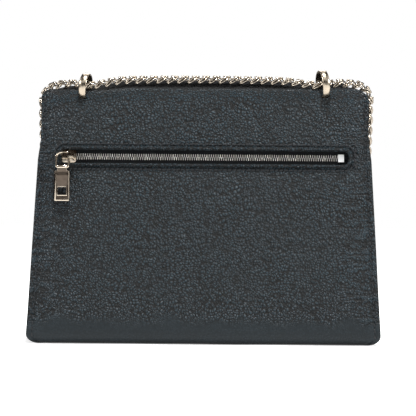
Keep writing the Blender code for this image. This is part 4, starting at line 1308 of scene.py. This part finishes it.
def makePocket():
    # a flat bag of fabric that hangs from the tapes behind the zip, open at its top
    outer, inner, reach = -inside["pocketFace"], -inside["pocketBack"], inside["pocketReach"]
    foot, turn, half = inside["pocketLow"] - zipper["level"], (outer - inner) / 2, inside["pocketHalf"]
    line = [(reach, inner), (foot, inner)]
    line += [(foot - turn * math.sin(a), inner + turn * (1 - math.cos(a))) for a in (math.pi / 3, math.pi * 2 / 3)]
    line = evenLine(line + [(foot, outer), (-reach - 0.3, outer)], 4.0)
    grid = [[onBack(-half + 2 * half * i / 30, v, n + 0.08 * softWave(i * 6.0, v, 5.5, 20.0)) for i in range(31)]
            for v, n in line]
    obj = closedSheet("zipPocketLining", grid, 0.5, (microfibre,), bevel=0.15)
    keep(obj, "root", "lining", "zip_pocket_lining")


def makeLinings():
    lowest, highest = inside["lowest"], bag["frontHeight"]
    backInset, frontInset = inside["sideInsets"]
    line = wallLine(backTilt, lowest, highest, 5.0, -1)
    makeLining("liningBack", inward(line, inside["liningBack"]), [sideHalf(z) - backInset for _, z in line],
               "lining", "lining_back")
    line = wallLine(frontTilt, highest, lowest, 5.0)
    makeLining("liningFront", inward(line, inside["liningFront"]), [sideHalf(z) - frontInset for _, z in line],
               "lining", "lining_front")
    line = wallLine(backTilt, *inside["slipHeights"], 4.0, -1)
    makeLining("slipPocket", inward(line, inside["slipPocket"]), [inside["slipHalf"]] * len(line),
               "lining", "slip_pocket", 0.8)
    back = -wallY(highest, backTilt) + inside["liningBack"]
    line = evenLine([(back, highest + 0.3), (back + 1.0, 152.0)] + inside["facingEnd"], 2.0)
    makeLining("topFacing", line, [inside["facingHalf"]] * len(line), "leather", "top_facing",
               finishes=leatherFinishes)
    half, height, rear, depth = inside["base"]
    grid = levelGrid(half, height, [rear + depth * i / 8 for i in range(9)], 8.0)
    obj = closedSheet("liningBase", grid, 1.0, (microfibre,), bevel=0.25)
    keep(obj, "root", "lining", "lining_base")
    makePocket()
    for node, finish in (("base_board", board), ("loop_patch_left", board), ("loop_patch_right", board),
                         ("lock_backing", nickel)):
        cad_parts[node].data.materials.clear()
        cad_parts[node].data.materials.append(finish)


makeLinings()
print("linings made")

# stitches

stitch = {
    "length": 3.0,
    "width": 1.15,
    "slant": 0.16,
    "pitch": 3.65,
    "zipPitch": 3.0,
    "fromWindow": 3.4,
    "crossLine": (3.9, 8.6),  # a short line past the window's end: its distance and its half length
    # stations along a stitch: place, thickness and lift
    "stations": ((-0.5, 0.35, -0.32), (-0.32, 0.9, 0.02), (0.0, 1.0, 0.1), (0.32, 0.9, 0.02), (0.5, 0.35, -0.32)),
}


def stitchShape():
    # one stitch: a short run of thread whose ends dive into their holes
    radius, rings = stitch["width"] / 2, []
    for along, fat, lift in stitch["stations"]:
        rings.append([(along * stitch["length"], c * radius * fat,
                       (s * 0.8 + lift) * radius * fat + lift * stitch["width"]) for c, s in circle(6)])
    shape = sweptRing("stitch shape", rings, closed=False)
    shape.data.shade_smooth()
    return shape


def edgeLines(path, halves, swell):
    # places just inside both edges of a panel, with the way that its face looks there
    lines = []
    for side in (-1, 1):
        line = []
        for (y, z), n, half in zip(path, profileNormals(path), halves):
            x = side * (half - seamAt(z))
            stand = swell(x, y, z) + seamDip(seamAt(z), z)
            line.append((Vector((x, y + n.x * stand, z + n.y * stand)), Vector((0, n.x, n.y))))
        lines.append(line)
    return lines


def makeStitches():
    shape = stitchShape()

    def sew(name, lines, pitch):
        return makeRow(name, lines, rowTree, Shape=shape, Pitch=pitch * mm, Slant=stitch["slant"], Finish=thread)

    path = [p for p in backPath if p[1] > 5.5 and p[0] < -6.5]
    row = sew("backStitches", edgeLines(path, [sideHalf(z) for _, z in path], backSwell), stitch["pitch"])
    keep(row, "root", "leather")
    out = stitch["fromWindow"]
    ring = roundedOutline(zipper["half"] + out, zipper["height"] / 2 + out, zipper["corner"] + 3.2, steps=8)
    ring = [(onBack(u, v, -0.05), facingBack) for u, v in ring + ring[:1]]
    past, half = stitch["crossLine"]
    across = [(onBack(zipper["half"] + past, v, 0.0), facingBack) for v in (-half, half)]
    keep(sew("zipStitches", [ring, across], stitch["zipPitch"]), "root", "leather")
    path = [p for p in flapPath(flap["rear"]) if p[1] > 52.5]
    row = sew("flapStitches", edgeLines(path, [flapHalf(z) for _, z in path], flapSwell), stitch["pitch"])
    keep(row, flapBend, "leather")
    bpy.data.objects.remove(shape)


makeStitches()
print("stitches made")

# floor, light and background

studio = {
    "floorHalf": 6000.0,
    "floorColour": "#e6e6e6",
    "floorGlow": (0.5, 0.95),
    "glowReach": (450.0, 1500.0),
    "worldFill": 0.11,
    "cardColour": "#241c17",
    "cards": {"distance": 1400.0, "inner": 130.0, "outer": 1150.0, "low": 20.0, "high": 900.0, "sill": 330.0,
              "farSill": 230.0, "ceiling": 1300.0, "ceilingHalf": 1000.0},
    "aim": (0, 0, 90),
    "lamps": {
        "key": ((60.0, -340.0, 1200.0), 150.0, 24.0),  # place, size and power
        "left": ((-980.0, -340.0, 640.0), 260.0, 6.0),
        "right": ((1060.0, -300.0, 560.0), 260.0, 10.0),
        "back": ((0.0, 760.0, 900.0), 700.0, 6.0),
    },
}


def seenDirectly(tree):
    # 1 for what the camera, a mirror or a glass sees, and 0 for the light that falls on things
    rays = addNode(tree, "ShaderNodeLightPath").outputs
    seen = maths(tree, "MAXIMUM", rays["Is Camera Ray"], rays["Is Glossy Ray"])
    return maths(tree, "MAXIMUM", seen, rays["Is Transmission Ray"])


def makeFloor():
    half = studio["floorHalf"]
    corners = [(-half, -half, 0), (half, -half, 0), (half, half, 0), (-half, half, 0)]
    obj = meshFrom("floor", corners, [(0, 1, 2, 3)])
    # matt white sweep: an even pale ground with a soft shadow, which brightens into the white room
    finish = bpy.data.materials.new("matt white sweep")
    finish.use_nodes = True
    tree = finish.node_tree
    tree.nodes.clear()
    plain = firstOut(tree, "ShaderNodeBsdfDiffuse", None, {"Color": linearColour(studio["floorColour"])})
    where = addNode(tree, "ShaderNodeTexCoord").outputs["Object"]
    distance = addNode(tree, "ShaderNodeVectorMath", {"operation": "LENGTH"}, {0: where}).outputs["Value"]
    near, far = studio["glowReach"]
    glowing = ranged(tree, distance, near * mm, far * mm, *studio["floorGlow"])
    glow = firstOut(tree, "ShaderNodeEmission", None,
                    {"Color": (1, 1, 1, 1), "Strength": maths(tree, "MULTIPLY", seenDirectly(tree), glowing)})
    both = firstOut(tree, "ShaderNodeAddShader", None, {0: plain, 1: glow})
    addNode(tree, "ShaderNodeOutputMaterial", None, {"Surface": both})
    obj.data.materials.append(finish)


def makeCards():
    # black cards stand round and over the bag, out of sight: polished metal needs something dark to mirror
    card = studio["cards"]
    # black card: a dead matt, warm black that only mirrors show
    finish = newFinish("black card", {"Base Color": linearColour(studio["cardColour"]), "Roughness": 1.0,
                                      "Specular IOR Level": 0.0})[0]
    points = []
    for k in range(4):
        # the card on the flap's side reaches lower and higher, so that the top edge doesn't mirror the white room
        turn = Matrix.Rotation(math.radians(90 * k), 3, "Z")
        inner, low, reach, lintel, top = card["inner"], card["low"], card["outer"], card["sill"], card["high"]
        if k == 2:
            reach, lintel, top = card["distance"], card["farSill"], card["ceiling"]
        for left, right, bottom, upper in ((-reach, -inner, low, lintel), (inner, reach, low, lintel),
                                           (-reach, reach, lintel, top)):
            points += [turn @ Vector((u, -card["distance"], v))
                       for u, v in ((left, bottom), (right, bottom), (right, upper), (left, upper))]
    half, far, ceiling = card["ceilingHalf"], card["distance"], card["ceiling"]
    points += [(-half, -half, ceiling), (half, -half, ceiling), (half, far, ceiling), (-half, far, ceiling)]
    faces = [tuple(range(i, i + 4)) for i in range(0, len(points), 4)]
    obj = meshFrom("blackCards", points, faces, (finish,))
    obj.visible_camera = False
    obj.visible_diffuse = False
    obj.visible_shadow = False
    obj.visible_transmission = False


def makeLamp(name, place, size, power):
    data = bpy.data.lights.new(name, "AREA")
    data.shape = "SQUARE"
    data.size = size * mm
    data.energy = power
    lamp = newObject(name, data)
    lamp.location = Vector(place) * mm
    lamp.rotation_euler = (Vector(studio["aim"]) - Vector(place)).to_track_quat("-Z", "Y").to_euler()


def makeWorld():
    world = bpy.data.worlds.new("studio")
    bpy.context.scene.world = world
    world.use_nodes = True
    tree = world.node_tree
    tree.nodes.clear()
    strength = ranged(tree, seenDirectly(tree), 0.0, 1.0, studio["worldFill"], 1.0)
    sky = firstOut(tree, "ShaderNodeBackground", None, {"Color": (1, 1, 1, 1), "Strength": strength})
    addNode(tree, "ShaderNodeOutputWorld", None, {"Surface": sky})


makeFloor()
makeCards()
makeWorld()
for name, lamp in studio["lamps"].items():
    makeLamp(name + " softbox", *lamp)
bpy.context.scene.view_settings.view_transform = "Standard"
print("studio made")
